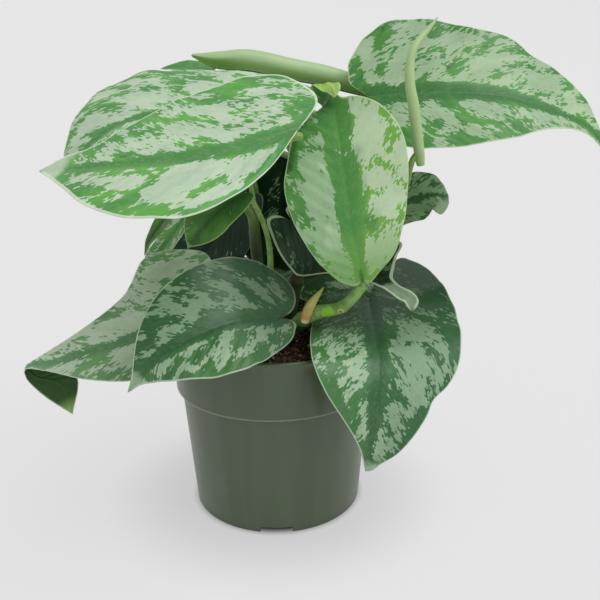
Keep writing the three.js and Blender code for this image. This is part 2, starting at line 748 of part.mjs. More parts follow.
function potOutside() {
  return [
    [0, 0],
    [POT_BASE_RADIUS - 0.8, 0],
    [POT_BASE_RADIUS, 0.8],
    [POT_NECK_RADIUS, POT_BAND_BOTTOM],
    [POT_BAND_RADIUS, POT_BAND_BOTTOM + 0.3],
    [POT_BAND_WALL_RADIUS, POT_HEIGHT - 1.8],
    [POT_RIM_RADIUS, POT_HEIGHT - 1.4],
    [POT_RIM_RADIUS, POT_HEIGHT - 0.4],
    [POT_RIM_RADIUS - 0.4, POT_HEIGHT],
  ];
}

// The inside of the pot from rim to floor, drawn in by `clearance`.
function potInside(clearance) {
  return [
    [POT_BAND_WALL_RADIUS - POT_WALL - clearance, POT_HEIGHT],
    [POT_BAND_RADIUS - POT_WALL - clearance, POT_BAND_BOTTOM + 1.2],
    [POT_NECK_RADIUS - POT_WALL - clearance, POT_BAND_BOTTOM - 1.2],
    [POT_BASE_RADIUS - POT_WALL - clearance, POT_FLOOR + clearance],
    [0, POT_FLOOR + clearance],
  ];
}

function potGeometry() {
  let pot = toSolid(turned([...potOutside(), ...potInside(0)], POT_SIDES));
  const radial = POT_BASE_RADIUS - DRAIN_DEPTH / 2 + 2;
  for (let i = 0; i < DRAIN_COUNT; i += 1) {
    const notch = new THREE.BoxGeometry(DRAIN_WIDTH, DRAIN_DEPTH + 4, 2 * DRAIN_HEIGHT);
    notch.translate(0, -radial, 0);
    notch.rotateZ((2 * Math.PI * i) / DRAIN_COUNT);
    pot = pot.subtract(toSolid(notch));
  }
  return fromSolid(pot);
}

function soilRelief(radius, angle) {
  const coarse = Math.sin(radius / 5.3 + 2 * angle) * Math.cos(3 * angle - radius / 7.1);
  const fine = 0.5 * Math.sin(5 * angle + radius / 2.7);
  return SOIL_RELIEF * (coarse + fine);
}

// A filled-in turned body whose top is bumpy: rings from the wall to a point on the axis.
function soilBody() {
  const wall = potInside(GAP + 0.2);
  const edge = wall[0][0] - (wall[0][0] - wall[1][0]) * ((POT_HEIGHT - SOIL_LEVEL) / 30);
  const profile = [...wall.slice(1).reverse(), [edge, SOIL_LEVEL]];
  for (let ring = SOIL_RINGS - 1; ring >= 0; ring -= 1) {
    profile.push([(edge * ring) / SOIL_RINGS, SOIL_LEVEL]);
  }
  const geometry = merged(turned(profile, SOIL_SIDES));
  const position = geometry.attributes.position;
  for (let i = 0; i < position.count; i += 1) {
    const radius = Math.hypot(position.getX(i), position.getY(i));
    const angle = Math.atan2(position.getY(i), position.getX(i));
    const steady = position.getZ(i) < SOIL_LEVEL - 1 || radius < 1;
    position.setZ(i, position.getZ(i) + (steady ? 0 : soilRelief(radius, angle)));
  }
  return geometry;
}

// Each stem stands in a plain hole a little wider than the stem.
function stemHole({ trunk, radii }) {
  const depth = SOIL_LEVEL + 4 - STEM_FOOT;
  const hole = new THREE.CylinderGeometry(radii[0] + 2 * GAP, radii[0] + 2 * GAP, depth, 16);
  hole.rotateX(Math.PI / 2);
  hole.translate(trunk[0][0], trunk[0][1], STEM_FOOT - GAP + depth / 2);
  return hole;
}

function soilGeometry() {
  const holes = Object.values(STEMS).map((stem) => toSolid(stemHole(stem)));
  return fromSolid(holes.reduce((soil, hole) => soil.subtract(hole), toSolid(soilBody())));
}

// ---- The whole plant ----------------------------------------------------------------------

function addMesh(group, name, geometry, material) {
  const mesh = new THREE.Mesh(geometry, material);
  mesh.name = name;
  group.add(mesh);
}

const plant = new THREE.Group();
plant.name = "satin_pothos";
addMesh(plant, "pot", potGeometry(), POT_PLASTIC);
addMesh(plant, "soil", soilGeometry(), PEAT);
for (const name of Object.keys(STEMS)) {
  addMesh(plant, name, stemGeometry(name), STEM_GREEN);
}
for (const [name, { points, radii }] of Object.entries(SHEATHS)) {
  addMesh(plant, name, merged(taperedTube(points, radii)), SHEATH_YELLOW);
}
for (const [name, { points, radii }] of Object.entries(ROLLED_LEAVES)) {
  addMesh(plant, name, merged(taperedTube(points, radii, { steps: 14 })), YOUNG_LEAF);
}
for (const [name, shape] of Object.entries(LEAVES)) {
  addMesh(plant, name, merged(bladeGeometry(completeLeaf(shape))), shape.material);
}

export default plant;
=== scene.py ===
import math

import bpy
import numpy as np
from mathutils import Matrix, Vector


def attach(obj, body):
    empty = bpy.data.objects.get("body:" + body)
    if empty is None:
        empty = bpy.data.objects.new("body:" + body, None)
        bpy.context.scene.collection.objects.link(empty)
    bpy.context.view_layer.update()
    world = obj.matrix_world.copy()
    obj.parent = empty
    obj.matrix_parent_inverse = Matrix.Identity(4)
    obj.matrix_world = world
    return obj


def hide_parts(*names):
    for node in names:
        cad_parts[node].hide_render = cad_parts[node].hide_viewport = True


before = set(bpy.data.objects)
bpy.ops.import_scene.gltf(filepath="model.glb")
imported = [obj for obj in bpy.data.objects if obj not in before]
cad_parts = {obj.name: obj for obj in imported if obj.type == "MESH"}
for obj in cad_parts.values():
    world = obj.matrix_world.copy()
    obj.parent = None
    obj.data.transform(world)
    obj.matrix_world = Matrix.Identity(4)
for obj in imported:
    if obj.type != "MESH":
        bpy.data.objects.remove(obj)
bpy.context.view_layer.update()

# A satin pothos (Scindapsus pictus) in its nursery pot.
# Shapes are worked out in millimetres, +Z up and -Y to the front, and become metres in joined_mesh.
# On a leaf, u is the distance along the midrib and v the distance across it, above zero on the
# right with the tip ahead. The marks that the materials read are in centimetres.

MM = 0.001
CM = 10
BODY = "root"


def put(name, data):
    """A new object of the scene that shows a mesh, a lamp or a camera."""
    thing = bpy.data.objects.new(name, data)
    bpy.context.scene.collection.objects.link(thing)
    return thing


# ---- Camera -------------------------------------------------------------------------------

CAMERA_PLACE = (13, -400, 240)
CAMERA_PITCH = 18.3
CAMERA_ROLL = -0.7
SENSOR_WIDTH = 36.0
FOCAL_TO_WIDTH = 832 / 600
CLIP_RANGE = (0.02, 20)


def make_camera():
    """Looks along +Y, pitched down and a little rolled."""
    data = bpy.data.cameras.new("camera")
    data.sensor_width = SENSOR_WIDTH
    data.lens = SENSOR_WIDTH * FOCAL_TO_WIDTH
    data.clip_start, data.clip_end = CLIP_RANGE
    camera = put("camera", data)
    place = Matrix.Translation(Vector(CAMERA_PLACE) * MM)
    pitch = Matrix.Rotation(math.radians(90 - CAMERA_PITCH), 4, "X")
    roll = Matrix.Rotation(math.radians(CAMERA_ROLL), 4, "Z")
    camera.matrix_world = place @ pitch @ roll
    bpy.context.scene.camera = camera


make_camera()

# ---- Measures of the leaves -----------------------------------------------------------------
# Shape. `rib` runs from the petiole to the tip and `face` is the way the upper side looks along
# it. Pairs are (right, left) with the tip ahead. `half` is the half width in mm. `lobe`, `belly`
# and `taper` shape a heart: how far its basal lobe reaches back and where it is widest, as shares
# of the rib, and how hollow it runs in to the tip. An `outline` gives each half instead as (share
# of the rib, share of the half width) pairs. `fold` is the slope beside the midrib and `curl` what
# is added to it up to the margin, in degrees. `wave` is the height in mm of the broad waves of
# the margin; `ruffle` scales its fine ones and `swell` the swellings between the side veins.
# `rows` and `columns` divide the mesh. A leaf that folds over is given by `rails` instead: its
# left margin, rib and right margin, point for point.
#
# Markings. `look` names the colours, `cover` is the share of silver and `blotch` the size of its
# patches in mm. `band` is the half width in mm of the plain green band from base to tip, and
# `slant` how far a side vein runs ahead for each mm across. `hem` keeps silver off the margin,
# `rim` is the width in cm of the pale line on it, and the blade is pale beyond the share
# `pale_tip`. `bright` paints light on the right half, or on the left if it is negative; `dusk`
# paints shade over the base, and `lime` makes the base fresher. Each of the `streaks` runs from a
# share of the rib and mm across it to another such pair; within its reach in mm, given last, the
# blade tends to silver, or to green if the reach is negative. Where green streaks overlap the
# green is deepest; on the centre and low right leaves such overlaps paint shade.

LEAVES = {
    "leaf_top_left_front": dict(
        rib=[
            (13, -68, 201), (-9, -76, 195), (-32, -82, 192), (-63, -80, 189), (-80, -74, 187),
            (-90, -70, 186),
        ],
        face=[(0.1, -0.45, 0.9), (-0.1, -0.4, 0.9)], half=(42, 32), fold=(6, 6), curl=(-6, -30),
        outline=(
            [
                (-0.06, 0.1), (-0.129, 0.267), (-0.142, 0.39), (-0.124, 0.587), (-0.073, 0.827),
                (0.024, 0.944), (0.125, 0.975), (0.288, 1.025), (0.43, 0.94), (0.559, 0.807),
                (0.698, 0.596), (0.824, 0.332), (0.93, 0.193),
            ],
            [
                (0.021, 0.081), (0.12, 0.36), (0.222, 0.608), (0.32, 0.791), (0.393, 0.938),
                (0.459, 0.993), (0.541, 0.931), (0.644, 0.848), (0.728, 0.71), (0.815, 0.435),
                (0.931, 0.158),
            ],
        ),
        look="young", cover=0.58, band=(3, 3.5, 3.5, 3, 2, 1, 0.2), pale_tip=0.86, blotch=10,
        hem=0.1, rim=0.09,
        streaks=[
            (0.47, 20.4, 0.24, 8, 3), (0.3, 22.7, 0.1, 9.2, 3.3), (0.74, 9.3, 0.48, 9.7, 2.6),
            (0.35, 29.6, 0.19, 28, 1.9), (0.07, 26.5, 0.05, 28, 2.3), (0.04, 19, 0.01, 7.8, 3.5),
            (-0.09, 23.6, -0.11, 19.6, 1.8), (0.51, -17.8, 0.27, -10.4, 5),
            (0.55, -19.6, 0.49, -22.8, 2.1), (0.8, -7.1, 0.6, -11.5, 2.8),
            (0.24, -14.8, 0.12, -6.6, 2.3), (0.37, -24.2, 0.28, -19.8, 1.3),
            (0.5, -28.1, 0.47, -27, 1), (0.74, -10.1, 0.63, -14.6, 1.9),
            (0.69, 22.9, 0.58, 22.8, 2), (0.23, 35.4, 0.11, 33.7, -3.4),
            (0.06, 34.5, -0.07, 27.7, -2.1), (0.12, 21.3, 0.19, 20.8, -1.5),
            (-0.01, 16.1, -0.02, 3.9, -1.2), (0.58, 27, 0.3, 23.2, -1.2),
            (0.76, 17.6, 0.63, 19.2, -1.7), (0.42, 11.4, 0.3, 7.3, -1.7),
            (0.58, -4.7, 0.53, -10.9, -2), (0.74, 9.3, 0.64, 4, -1.8),
            (0.77, -14.6, 0.66, -17.4, -2.3), (0.62, -16.6, 0.51, -24.8, -2.1),
            (0.7, -21.7, 0.43, -29.8, -1.6), (0.47, -17.9, 0.41, -21.4, -1.9),
            (0.39, -19.3, 0.32, -15.7, -1.3), (0.3, -24.3, 0.11, -10.3, -1.3),
            (0.3, -5.7, 0.23, -1, -1), (-0.08, 15.7, -0.12, 10.3, -1.8),
            (0.92, 1.5, 0.76, -3.5, -1.7), (0.32, 29.2, 0.27, 19.3, -1.6),
            (0.24, 13.7, 0.14, 12.6, -1.5), (0.11, 7.1, 0, 11.3, -1.7),
            (0.14, 26.1, 0.08, 24.3, -1.5), (0.67, 4.4, 0.56, 10.2, -1.5),
        ],
        ruffle=0.6,
    ),
    "leaf_top_left_back": dict(
        rib=[
            (10, -12, 207), (-13, -20, 207), (-38, -28, 205), (-64, -36, 200), (-78, -42, 190),
            (-86, -44, 180),
        ],
        face=[(0.1, -0.4, 0.9), (-0.4, -0.4, 0.8)], half=(39, 34), lobe=(0.09, -0.08),
        belly=(0.4, 0.4), taper=(-0.8, 0.5), curl=(-15, -10),
        outline=(
            [
                (-0.07, 0.1), (-0.1, 0.3), (-0.03, 0.5), (0.134, 0.68), (0.279, 0.892), (0.43, 1),
                (0.58, 1.105), (0.653, 1.099), (0.707, 1.028), (0.752, 0.84), (0.804, 0.712),
                (0.863, 0.556), (0.914, 0.417), (0.963, 0.294),
            ],
            None,
        ),
        look="young", cover=0.68, band=(2, 2, 2, 2, 1, 0.5), blotch=9, hem=0.09,
        streaks=[
            (0.69, 6.9, 0.58, -0.3, 4.6), (0.62, 18, 0.45, 8.2, 3.8), (0.39, 18.7, 0.29, 12.5, 3.9),
            (0.5, 24.6, 0.49, 15.1, 2.6), (0.86, 11.2, 0.91, 7.9, 3.6),
            (0.77, 13.8, 0.77, 10.3, 3.1), (0.71, 33.7, 0.68, 31.8, 3.2),
            (0.65, 35.2, 0.64, 18.7, -3), (0.53, 37.3, 0.45, 37.9, -3.1),
            (0.44, 32.8, 0.44, 16.9, -3.5), (0.42, 12.2, 0.4, 7.9, -1.8),
            (0.72, 22.2, 0.69, 13.4, -2.7), (0.8, 19.3, 0.75, 22.6, -2), (0.74, 2, 0.71, -8, -2.2),
            (0.86, 17.2, 0.81, 20.1, -1.6), (0.32, 25.6, 0.27, 19.7, -2.1),
            (0.62, 8, 0.57, -3.7, -1.6), (0.18, 23.2, 0.13, 20.2, -2),
        ],
    ),
    "leaf_top_right": dict(
        rib=[
            (46, 0, 208), (65.1, -4, 209.4), (93.5, -8, 209.2), (108.3, -8, 207.6),
            (118.5, -7, 205), (131.9, -4, 200.4), (148.7, 0, 193.1), (156.1, 2, 187.1),
            (163.2, 3, 177.6),
        ],
        face=[(-0.2, -0.7, 0.7), (0.2, -0.6, 0.75)], half=(34, 38), curl=(-8, 0),
        outline=(
            [
                (-0.06, 0.15), (-0.08, 0.34), (-0.03, 0.7), (0.06, 0.9), (0.15, 0.97),
                (0.205, 0.999), (0.27, 0.988), (0.333, 0.958), (0.39, 0.917), (0.449, 0.868),
                (0.524, 0.753), (0.591, 0.558), (0.681, 0.361), (0.775, 0.216), (0.843, 0.157),
                (0.92, 0.09),
            ],
            [
                (-0.07, 0.204), (-0.076, 0.342), (-0.077, 0.488), (-0.055, 0.643), (-0.029, 0.808),
                (0.011, 0.921), (0.054, 1.017), (0.1, 1.076), (0.166, 1.107), (0.258, 1.069),
                (0.375, 0.945), (0.473, 0.92), (0.566, 0.798), (0.682, 0.69), (0.766, 0.562),
                (0.836, 0.384), (0.878, 0.221), (0.93, 0.08),
            ],
        ),
        look="right", cover=0.56, band=(5, 5, 4, 3.5, 2, 1, 0.2), blotch=11, hem=0.045,
        streaks=[
            (-0.02, -27.6, 0.01, -9.4, 4.1), (0.1, -23.9, 0.09, -6.4, 4.1),
            (0.22, -24.8, 0.21, -12.2, 6.1), (0.11, -37.4, 0.2, -36.2, 3.2),
            (0.27, -31, 0.31, -26.2, 3.1), (0.36, -16, 0.52, -16.6, 4.7),
            (0.47, -24.5, 0.59, -26.2, 3.4), (0.64, -16.7, 0.78, -14.5, 4.1),
            (0.12, 8.5, 0.11, 21, 5.4), (0.22, 8.4, 0.24, 14, 4.3), (0.35, 7.3, 0.47, 9.7, 3.9),
            (0.58, 4, 0.71, 4.5, 3.9), (0.3, 18.8, 0.28, 25.8, 2.5), (0.37, 21.4, 0.37, 25.8, 2),
            (0.41, 25.1, 0.44, 24, 1.6), (0.7, -16.8, 0.86, -7.2, 5.4),
            (0.67, -3.1, 0.83, 2.4, 3.9), (0.06, -35.9, 0.05, -27.4, -2.3),
            (-0.05, -21.2, -0.02, -6.7, -2.6), (0.1, -25.9, 0.07, -15.4, -1.5),
            (0.04, -14.4, 0.06, -7.9, -1.5), (0.28, -14.6, 0.35, -23.5, -2),
            (0.35, -23.5, 0.43, -26.6, -1.5), (0.3, -11.5, 0.36, -13.6, -2.5),
            (0.36, -34.1, 0.41, -31.9, -2.1), (0.45, -29.3, 0.51, -26.1, -1.9),
            (0.25, -36.6, 0.24, -30.9, -1.6), (0.22, -31.8, 0.25, -32, -1.6),
            (0.6, -21.7, 0.64, -19.4, -1.8), (0.69, -20.6, 0.75, -19.3, -1.5),
            (0.27, 7.5, 0.31, 7.6, -1.9), (0.23, 21.3, 0.27, 18.7, -1.8),
            (0.22, 25.9, 0.23, 32.8, -2), (0.34, 18.6, 0.46, 19.1, -1.3),
            (0.46, 19.1, 0.58, 13.1, -1.4), (0.32, 28.7, 0.4, 29.1, -1.5),
            (0.47, 25.2, 0.53, 19.3, -1.4), (0.65, 10, 0.69, 9, -1.6),
            (0.15, 19.9, 0.15, 32.5, -2.5), (0.55, -6.7, 0.65, -7.1, -2.2),
            (0.32, 15.2, 0.35, 24.4, -1.3), (0.27, -12.4, 0.44, -27, -1.8),
            (-0.06, -5.6, -0.01, -2.1, -2), (0.05, -35.9, 0.02, -25.4, -1.8),
            (0.04, -17.8, 0.03, -6, -1.3), (0.2, -5.7, 0.27, -19.3, -1.3),
            (0.47, 0.3, 0.62, 4.2, -1.9),
        ],
    ),
    "leaf_centre": dict(
        rib=[
            (40, -46, 137), (39, -48, 143), (36, -49, 155), (32, -41, 185), (29, -32, 205),
            (27, -28, 213), (26, -31, 216), (28, -34, 214), (29, -35, 210),
        ],
        face=[
            (0, -1, 0.1), (0, -1, 0.1), (0, -1, 0.1), (0, -0.9, 0.3), (-0.1, -0.85, 0.4),
            (-0.1, -0.9, 0.2), (-0.1, -0.9, -0.3), (0, -0.2, -1), (0, 1, 0),
        ],
        half=(27, 25.5), fold=(5, 5), wave=0.5,
        outline=(
            [
                (-0.04, 0.015), (-0.08, 0.03), (-0.086, 0.12), (-0.041, 0.271), (0.033, 0.492),
                (0.101, 0.696), (0.236, 0.876), (0.359, 0.968), (0.48, 1.023), (0.573, 1.015),
                (0.662, 0.916), (0.73, 0.743), (0.767, 0.555), (0.786, 0.356), (0.8, 0.19),
                (0.86, 0.16), (0.95, 0.15),
            ],
            [
                (-0.04, 0.015), (-0.08, 0.03), (-0.09, 0.13), (-0.052, 0.359), (0.027, 0.575),
                (0.156, 0.772), (0.271, 0.958), (0.375, 1.037), (0.44, 1.04), (0.511, 0.978),
                (0.632, 0.838), (0.713, 0.72), (0.78, 0.7), (0.84, 0.52), (0.89, 0.3), (0.95, 0.16),
            ],
        ),
        look="centre", cover=0.66, band=(1.5, 3.5, 4.5, 5, 5.5, 6, 6, 5), slant=0.7, blotch=9,
        hem=0.035,
        # The long green streaks on the upper left, with reaches of -3.6 to -5.8, overlap there:
        # painted shade of the top left front leaf.
        streaks=[
            (0.72, 10.9, 0.64, 16, 4.3), (0.61, 7.9, 0.56, 16.9, 3.9),
            (0.54, 22.8, 0.48, 24.3, 2.5), (0.47, 18.1, 0.31, 18.8, 3.8),
            (0.43, 12.5, 0.38, 12.6, 2.1), (0.3, 12.5, 0.25, 16.3, 3.4),
            (0.14, 8.4, 0.16, 14.9, 3.5), (0.09, 7.1, 0.1, 13.7, 4.1), (0.03, 5.5, 0.03, 8.9, 2.9),
            (0.73, -7.8, 0.68, -5.9, 2.3), (0.64, -11.4, 0.62, -8.9, 2),
            (0.52, -13.2, 0.42, -8.6, 5.2), (0.36, -13.5, 0.24, -10.9, 5.2),
            (0.18, -12.6, 0.12, -11.3, 4), (0.06, -11.5, 0.01, -6.5, 2.9),
            (0.42, -19.9, 0.4, -20.9, 1.7), (0.36, -25, 0.34, -24.8, 1.5),
            (0.22, -19.2, 0.2, -17.7, 1.7), (0.64, 10.2, 0.62, 7.4, 2.6),
            (0.51, 13.7, 0.47, 17.1, -1.7), (0.49, 9.7, 0.45, 12.8, -1.9),
            (0.71, 20.9, 0.63, 23.1, -1.5), (0.6, 24.9, 0.57, 17.9, -1.3),
            (0.5, 24, 0.54, 21.2, -1.1), (0.64, 15.8, 0.64, 16.5, -0.9),
            (0.34, -22.3, 0.27, -19.3, -1.7), (0.24, -16.1, 0.22, -9.4, -1.1),
            (0.2, -16.3, 0.17, -18.9, -1.1), (0.73, -15.9, 0.52, -22.7, -3.8),
            (0.78, -14, 0.72, -10.8, -5.8), (0.23, 13.2, 0.19, 8.6, -1.5),
            (0.26, 19.8, 0.29, 22.8, -1.3), (0.52, 3.9, 0.44, 5.6, -2.6),
            (0.38, 3.1, 0.21, 4.3, -2.8), (0.17, 1, 0.08, 1.7, -2.2), (0.71, 7, 0.68, 6.1, -1.7),
            (0.2, 20.8, 0.12, 18.8, -1.1), (0.39, -26.3, 0.27, -24.4, -1.1),
            (0.06, -16.3, 0.09, -12.8, -0.9), (0.49, 14.9, 0.44, 23.8, -1.5),
            (0.37, 11.7, 0.33, 18.1, -1.3), (0.42, 19.1, 0.38, 23.9, -1.3),
            (0.56, 15.9, 0.53, 19.7, -1.1), (0.77, -18.1, 0.51, -24.4, -3.6),
            (0.31, -20.4, 0.26, -12.3, -0.9), (0.19, -21, 0.14, -15.2, -1),
            (0.47, -19.1, 0.45, -17, -0.9), (0.39, -23.6, 0.35, -20.7, -1),
        ],
        bright=1.5, lime=0.55,
    ),
    "leaf_low_left_front": dict(
        rib=[(4, -44, 114), (-15, -62, 119), (-31, -72, 116), (-48, -78, 108), (-60, -80, 94)],
        face=[(0.1, -0.75, 0.65), (-0.2, -0.8, 0.6)], half=(32, 23),
        outline=(
            [
                (-0.075, 0.051), (-0.13, 0.156), (-0.156, 0.276), (-0.159, 0.419), (-0.124, 0.587),
                (-0.023, 0.778), (0.115, 0.879), (0.265, 0.94), (0.376, 0.919), (0.458, 0.876),
                (0.553, 0.814), (0.634, 0.73), (0.697, 0.617), (0.751, 0.482), (0.797, 0.347),
                (0.849, 0.22), (0.911, 0.107),
            ],
            [
                (-0.062, 0.09), (-0.087, 0.175), (-0.058, 0.316), (-0.01, 0.495), (0.065, 0.659),
                (0.16, 0.806), (0.275, 0.956), (0.398, 1.04), (0.48, 1.016), (0.551, 0.947),
                (0.613, 0.834), (0.685, 0.715), (0.766, 0.582), (0.845, 0.366), (0.924, 0.124),
            ],
        ),
        look="old", cover=0.42, band=(3, 2.5, 2, 1.5, 1, 0.5), pale_tip=0.87, blotch=6.5, rim=0.065,
        streaks=[
            (0.46, 12.7, 0.33, 6.1, 2.7), (0.55, 13.3, 0.49, 8.7, 3.9), (0.44, 21.3, 0.43, 14.6, 2),
            (0.3, 15.5, 0.23, 8.8, 3), (0.13, 15.3, 0.08, 9.7, 3.3), (0.25, 7.3, 0.16, 5.4, 2.1),
            (0.62, 6.9, 0.54, 5.8, 2.1), (0.68, 7.8, 0.68, 3.9, 2.1), (0.79, 2.5, 0.75, 3.1, 2.5),
            (0.64, -4.5, 0.53, -4.5, 1.6), (0.55, -10.9, 0.41, -7.3, 2.5),
            (0.44, -14.7, 0.32, -16.3, 2.3), (0.31, -9, 0.19, -1.8, 1.4),
            (0.26, -12.2, 0.15, -5.4, 2), (0.03, -7.3, -0.01, -4.8, 1.9),
            (0.2, -16.7, 0.17, -14.8, 1.4), (-0.01, -11.5, -0.06, -7.2, 1.5),
            (0.79, -6.1, 0.73, -5.7, 2.2), (0.68, -10.8, 0.62, -13.3, 1.5),
            (0.53, -18, 0.47, -17.9, 1.4), (0.6, 20.8, 0.59, 16.8, 1.3),
            (-0.03, 16.8, -0.04, 10.2, 1.4), (0.37, 17.8, 0.32, 15.8, 1.2),
            (0.36, 25.6, 0.33, 26.1, 1.3), (0.9, 1.5, 0.82, 0, 1.3), (0.45, -19.6, 0.39, -15.3, 1),
            (0.45, 9, 0.4, 4.8, -1.8), (0.52, 19.5, 0.46, 18.7, -2.6),
            (0.69, 13.8, 0.75, 7.3, -2.1), (0.6, 10.8, 0.55, 10.1, -1.5),
            (0.38, 13.8, 0.31, 12.8, -1.2), (0.27, 22.9, 0.04, 22.1, -3.7),
            (0.69, -6.6, 0.62, -8.6, -0.8), (0.45, -21.2, 0.31, -20.3, -2.1),
            (0.69, -14.6, 0.48, -23.3, -1.3), (0.02, 8.6, -0.05, 2.5, -3.3),
            (0.14, -10.8, 0.26, -18.2, -2.2), (0.4, -12, 0.3, -5.3, -1),
            (0.49, 4.7, 0.42, 3.2, -1.8), (0.69, 1.1, 0.62, -3.7, -1.9),
            (0.81, 0.5, 0.76, -0.2, -0.9),
        ],
        bright=-1, dusk=0.55,
    ),
    "leaf_low_right": dict(
        rib=[
            (48, 2, 107), (48, -41, 100.6), (48, -56, 93.5), (46, -64, 82), (44, -66, 63),
            (42, -62, 45),
        ],
        face=[(-0.1, -0.6, 0.8), (0, -0.8, 0.6), (0.1, -0.98, 0.2), (0.1, -0.98, 0.1)],
        half=(30, 39.5), curl=(-8, 0),
        outline=(
            [
                (-0.05, 0.08), (-0.113, 0.258), (-0.102, 0.533), (-0.038, 0.767), (0.101, 0.902),
                (0.228, 0.975), (0.356, 1.018), (0.453, 1.032), (0.555, 1.015), (0.606, 0.932),
                (0.647, 0.807), (0.691, 0.646), (0.746, 0.468), (0.805, 0.307), (0.879, 0.15),
                (0.944, 0.066),
            ],
            [
                (-0.163, 0.131), (-0.289, 0.309), (-0.349, 0.544), (-0.285, 0.674), (-0.181, 0.816),
                (-0.033, 0.916), (0.105, 0.976), (0.206, 1.004), (0.327, 0.99), (0.432, 0.97),
                (0.511, 0.91), (0.572, 0.787), (0.627, 0.654), (0.701, 0.597), (0.769, 0.515),
                (0.829, 0.422), (0.901, 0.293), (0.951, 0.161), (0.991, 0.08),
            ],
        ),
        look="old", cover=0.38, band=(3, 3.5, 4, 4, 3, 2, 1, 0.3), blotch=6.5, rim=0.055,
        streaks=[
            (0.31, 24.1, 0.44, 20.2, 3.2), (0.3, 18.3, 0.36, 13.8, 3.4),
            (0.46, 22.3, 0.53, 21.1, 1.9), (0.41, 9.7, 0.48, 7.5, 3.9),
            (0.54, 13.3, 0.58, 10.3, 3.1), (0.62, 17, 0.58, 13.3, 1.8), (0.62, 8.8, 0.66, 11.9, 2),
            (0.68, 5.7, 0.75, 2.9, 2.3), (0.78, 4.8, 0.84, 0.2, 2.7), (0.89, 1.5, 0.92, -1.9, 2.4),
            (0.45, -9.1, 0.55, -16.4, 4.4), (0.36, -13.3, 0.42, -9.6, 2.9),
            (0.35, -22.9, 0.48, -28.5, 4.3), (0.6, -3.7, 0.6, -8.9, 1.8),
            (0.59, -20.5, 0.62, -22.9, 2.7), (0.69, -8.6, 0.71, -15.7, 2.2),
            (0.67, -17, 0.66, -18.8, 2.2), (0.77, -7.3, 0.8, -10.7, 3),
            (0.88, -4.7, 0.84, -10.4, 2.7), (0.53, -29.9, 0.56, -27.3, 1.8),
            (0.58, 25, 0.61, 22.7, 1.2), (0.67, 14.3, 0.71, 11.4, 1.2),
            (0.47, -16.3, 0.51, -20.1, 2.4), (0.61, -13.6, 0.62, -15.8, 1.5),
            (0.38, 13.5, 0.45, 13.9, -1.2), (0.46, 9.7, 0.5, 13.7, -1),
            (0.52, 18.1, 0.47, 14.9, -1), (0.65, 19.1, 0.69, 14.3, -1.8),
            (0.43, -19.1, 0.49, -22.2, -0.8), (0.37, -37.1, 0.51, -34.2, -1.9),
            # The two wide green streaks here overlap near the base: painted shade under the leaves
            # above.
            (0.12, -34.5, 0.17, -27.7, -6.9), (-0.12, -17.8, -0.03, -32.3, -6.9),
            (0.63, -9.5, 0.66, -13.4, -1.5), (0.69, -22.7, 0.74, -17.9, -1.8),
            (0.83, -14.7, 0.77, -18.2, -1.4), (0.6, 15.7, 0.57, 15.1, -0.8),
            (0.47, 25.7, 0.55, 24.4, -1.1), (0.43, 19.1, 0.55, 18.1, -0.9),
            (0.3, 1, 0.37, -5.8, -3.8), (0.45, -10.4, 0.43, -14, -0.9),
            (0.56, -23.6, 0.57, -24.9, -1.3), (0.62, 11.7, 0.6, 13.7, -0.8),
            (0.72, -11.4, 0.75, -15.5, -1.4),
        ],
        bright=1, dusk=0.55,
    ),
    "leaf_low_left_folded": dict(
        rails=(
            [
                (-26.9, -18, 128.2), (-15.9, -38, 117.7), (-33, -54, 98.6), (-58.3, -60, 91.1),
                (-81.4, -60, 91.4), (-101.5, -54, 93.4), (-112.6, -49, 92.2), (-113.9, -46, 86.6),
                (-108.6, -42, 76.1), (-97.3, -36, 62.9),
            ],
            [
                (-26.9, -18, 128.2), (-37.6, -26, 119.1), (-50.3, -36, 109.1), (-66.8, -41, 102.8),
                (-86.2, -45, 97.9), (-103.4, -47, 93.8), (-113.5, -46, 92.1), (-110.3, -43, 85.9),
                (-100.6, -39, 80.5), (-97.3, -36, 62.9),
            ],
            [
                (-26.9, -18, 128.2), (-34.2, -5, 134.8), (-61.1, -9, 134.2), (-70.9, -20, 118.4),
                (-90.6, -31, 104.4), (-105.8, -40, 96.4), (-113.3, -43, 91.8), (-103, -38, 91.5),
                (-93.6, -35, 82), (-97.3, -36, 62.9),
            ],
        ),
        face=[(0, -0.8, 0.6), (0, -0.8, 0.6)], half=(28, 28), look="folded", cover=0.68,
        band=(2, 2, 2, 1.5, 1, 1), blotch=6, rim=0.055,
        streaks=[
            (0.39, 10.4, 0.28, 11.3, 3.2), (0.43, 1.4, 0.33, 3.9, 3.7),
            (0.22, 28.5, 0.21, 23.2, 3.1), (0.2, 31.6, 0.19, 28.4, 2.1),
            (0.17, 22.6, 0.15, 27.1, 2.6), (0.35, -8.3, 0.31, 0.7, 2.3),
            (0.51, 11.2, 0.46, 15.1, 3.4), (0.52, 3.5, 0.5, 3.5, 1.7), (0.34, 25.4, 0.26, 25, 2.2),
            (0.55, 8.1, 0.53, 9.4, 1.6), (0.37, 13.7, 0.35, 10.1, 2.1), (0.26, 19, 0.23, 18.4, 1.3),
            (0.22, 34.9, 0.22, 31.1, 1.2), (0.46, -8.4, 0.43, -7.4, -3.2),
            (0.41, -2.7, 0.39, -8.2, -2.1), (0.44, 6.2, 0.43, 1.5, -1),
            (0.38, 0.7, 0.35, 0.3, -0.7), (0.33, -6.7, 0.32, -3.3, -1.8),
            (0.47, 11.2, 0.42, 9, -1.2), (0.35, 7.5, 0.35, 9.6, -0.7),
            (0.39, -16.1, 0.35, -18.5, -2.5), (0.42, -1.7, 0.41, 1.1, -1.1),
            (0.54, 4.6, 0.51, 7.1, -1), (0.4, 16.2, 0.35, 16, -1.6), (0.2, 22.9, 0.18, 17.8, -2.1),
        ],
        dusk=0.1,
    ),
    "leaf_hanging": dict(
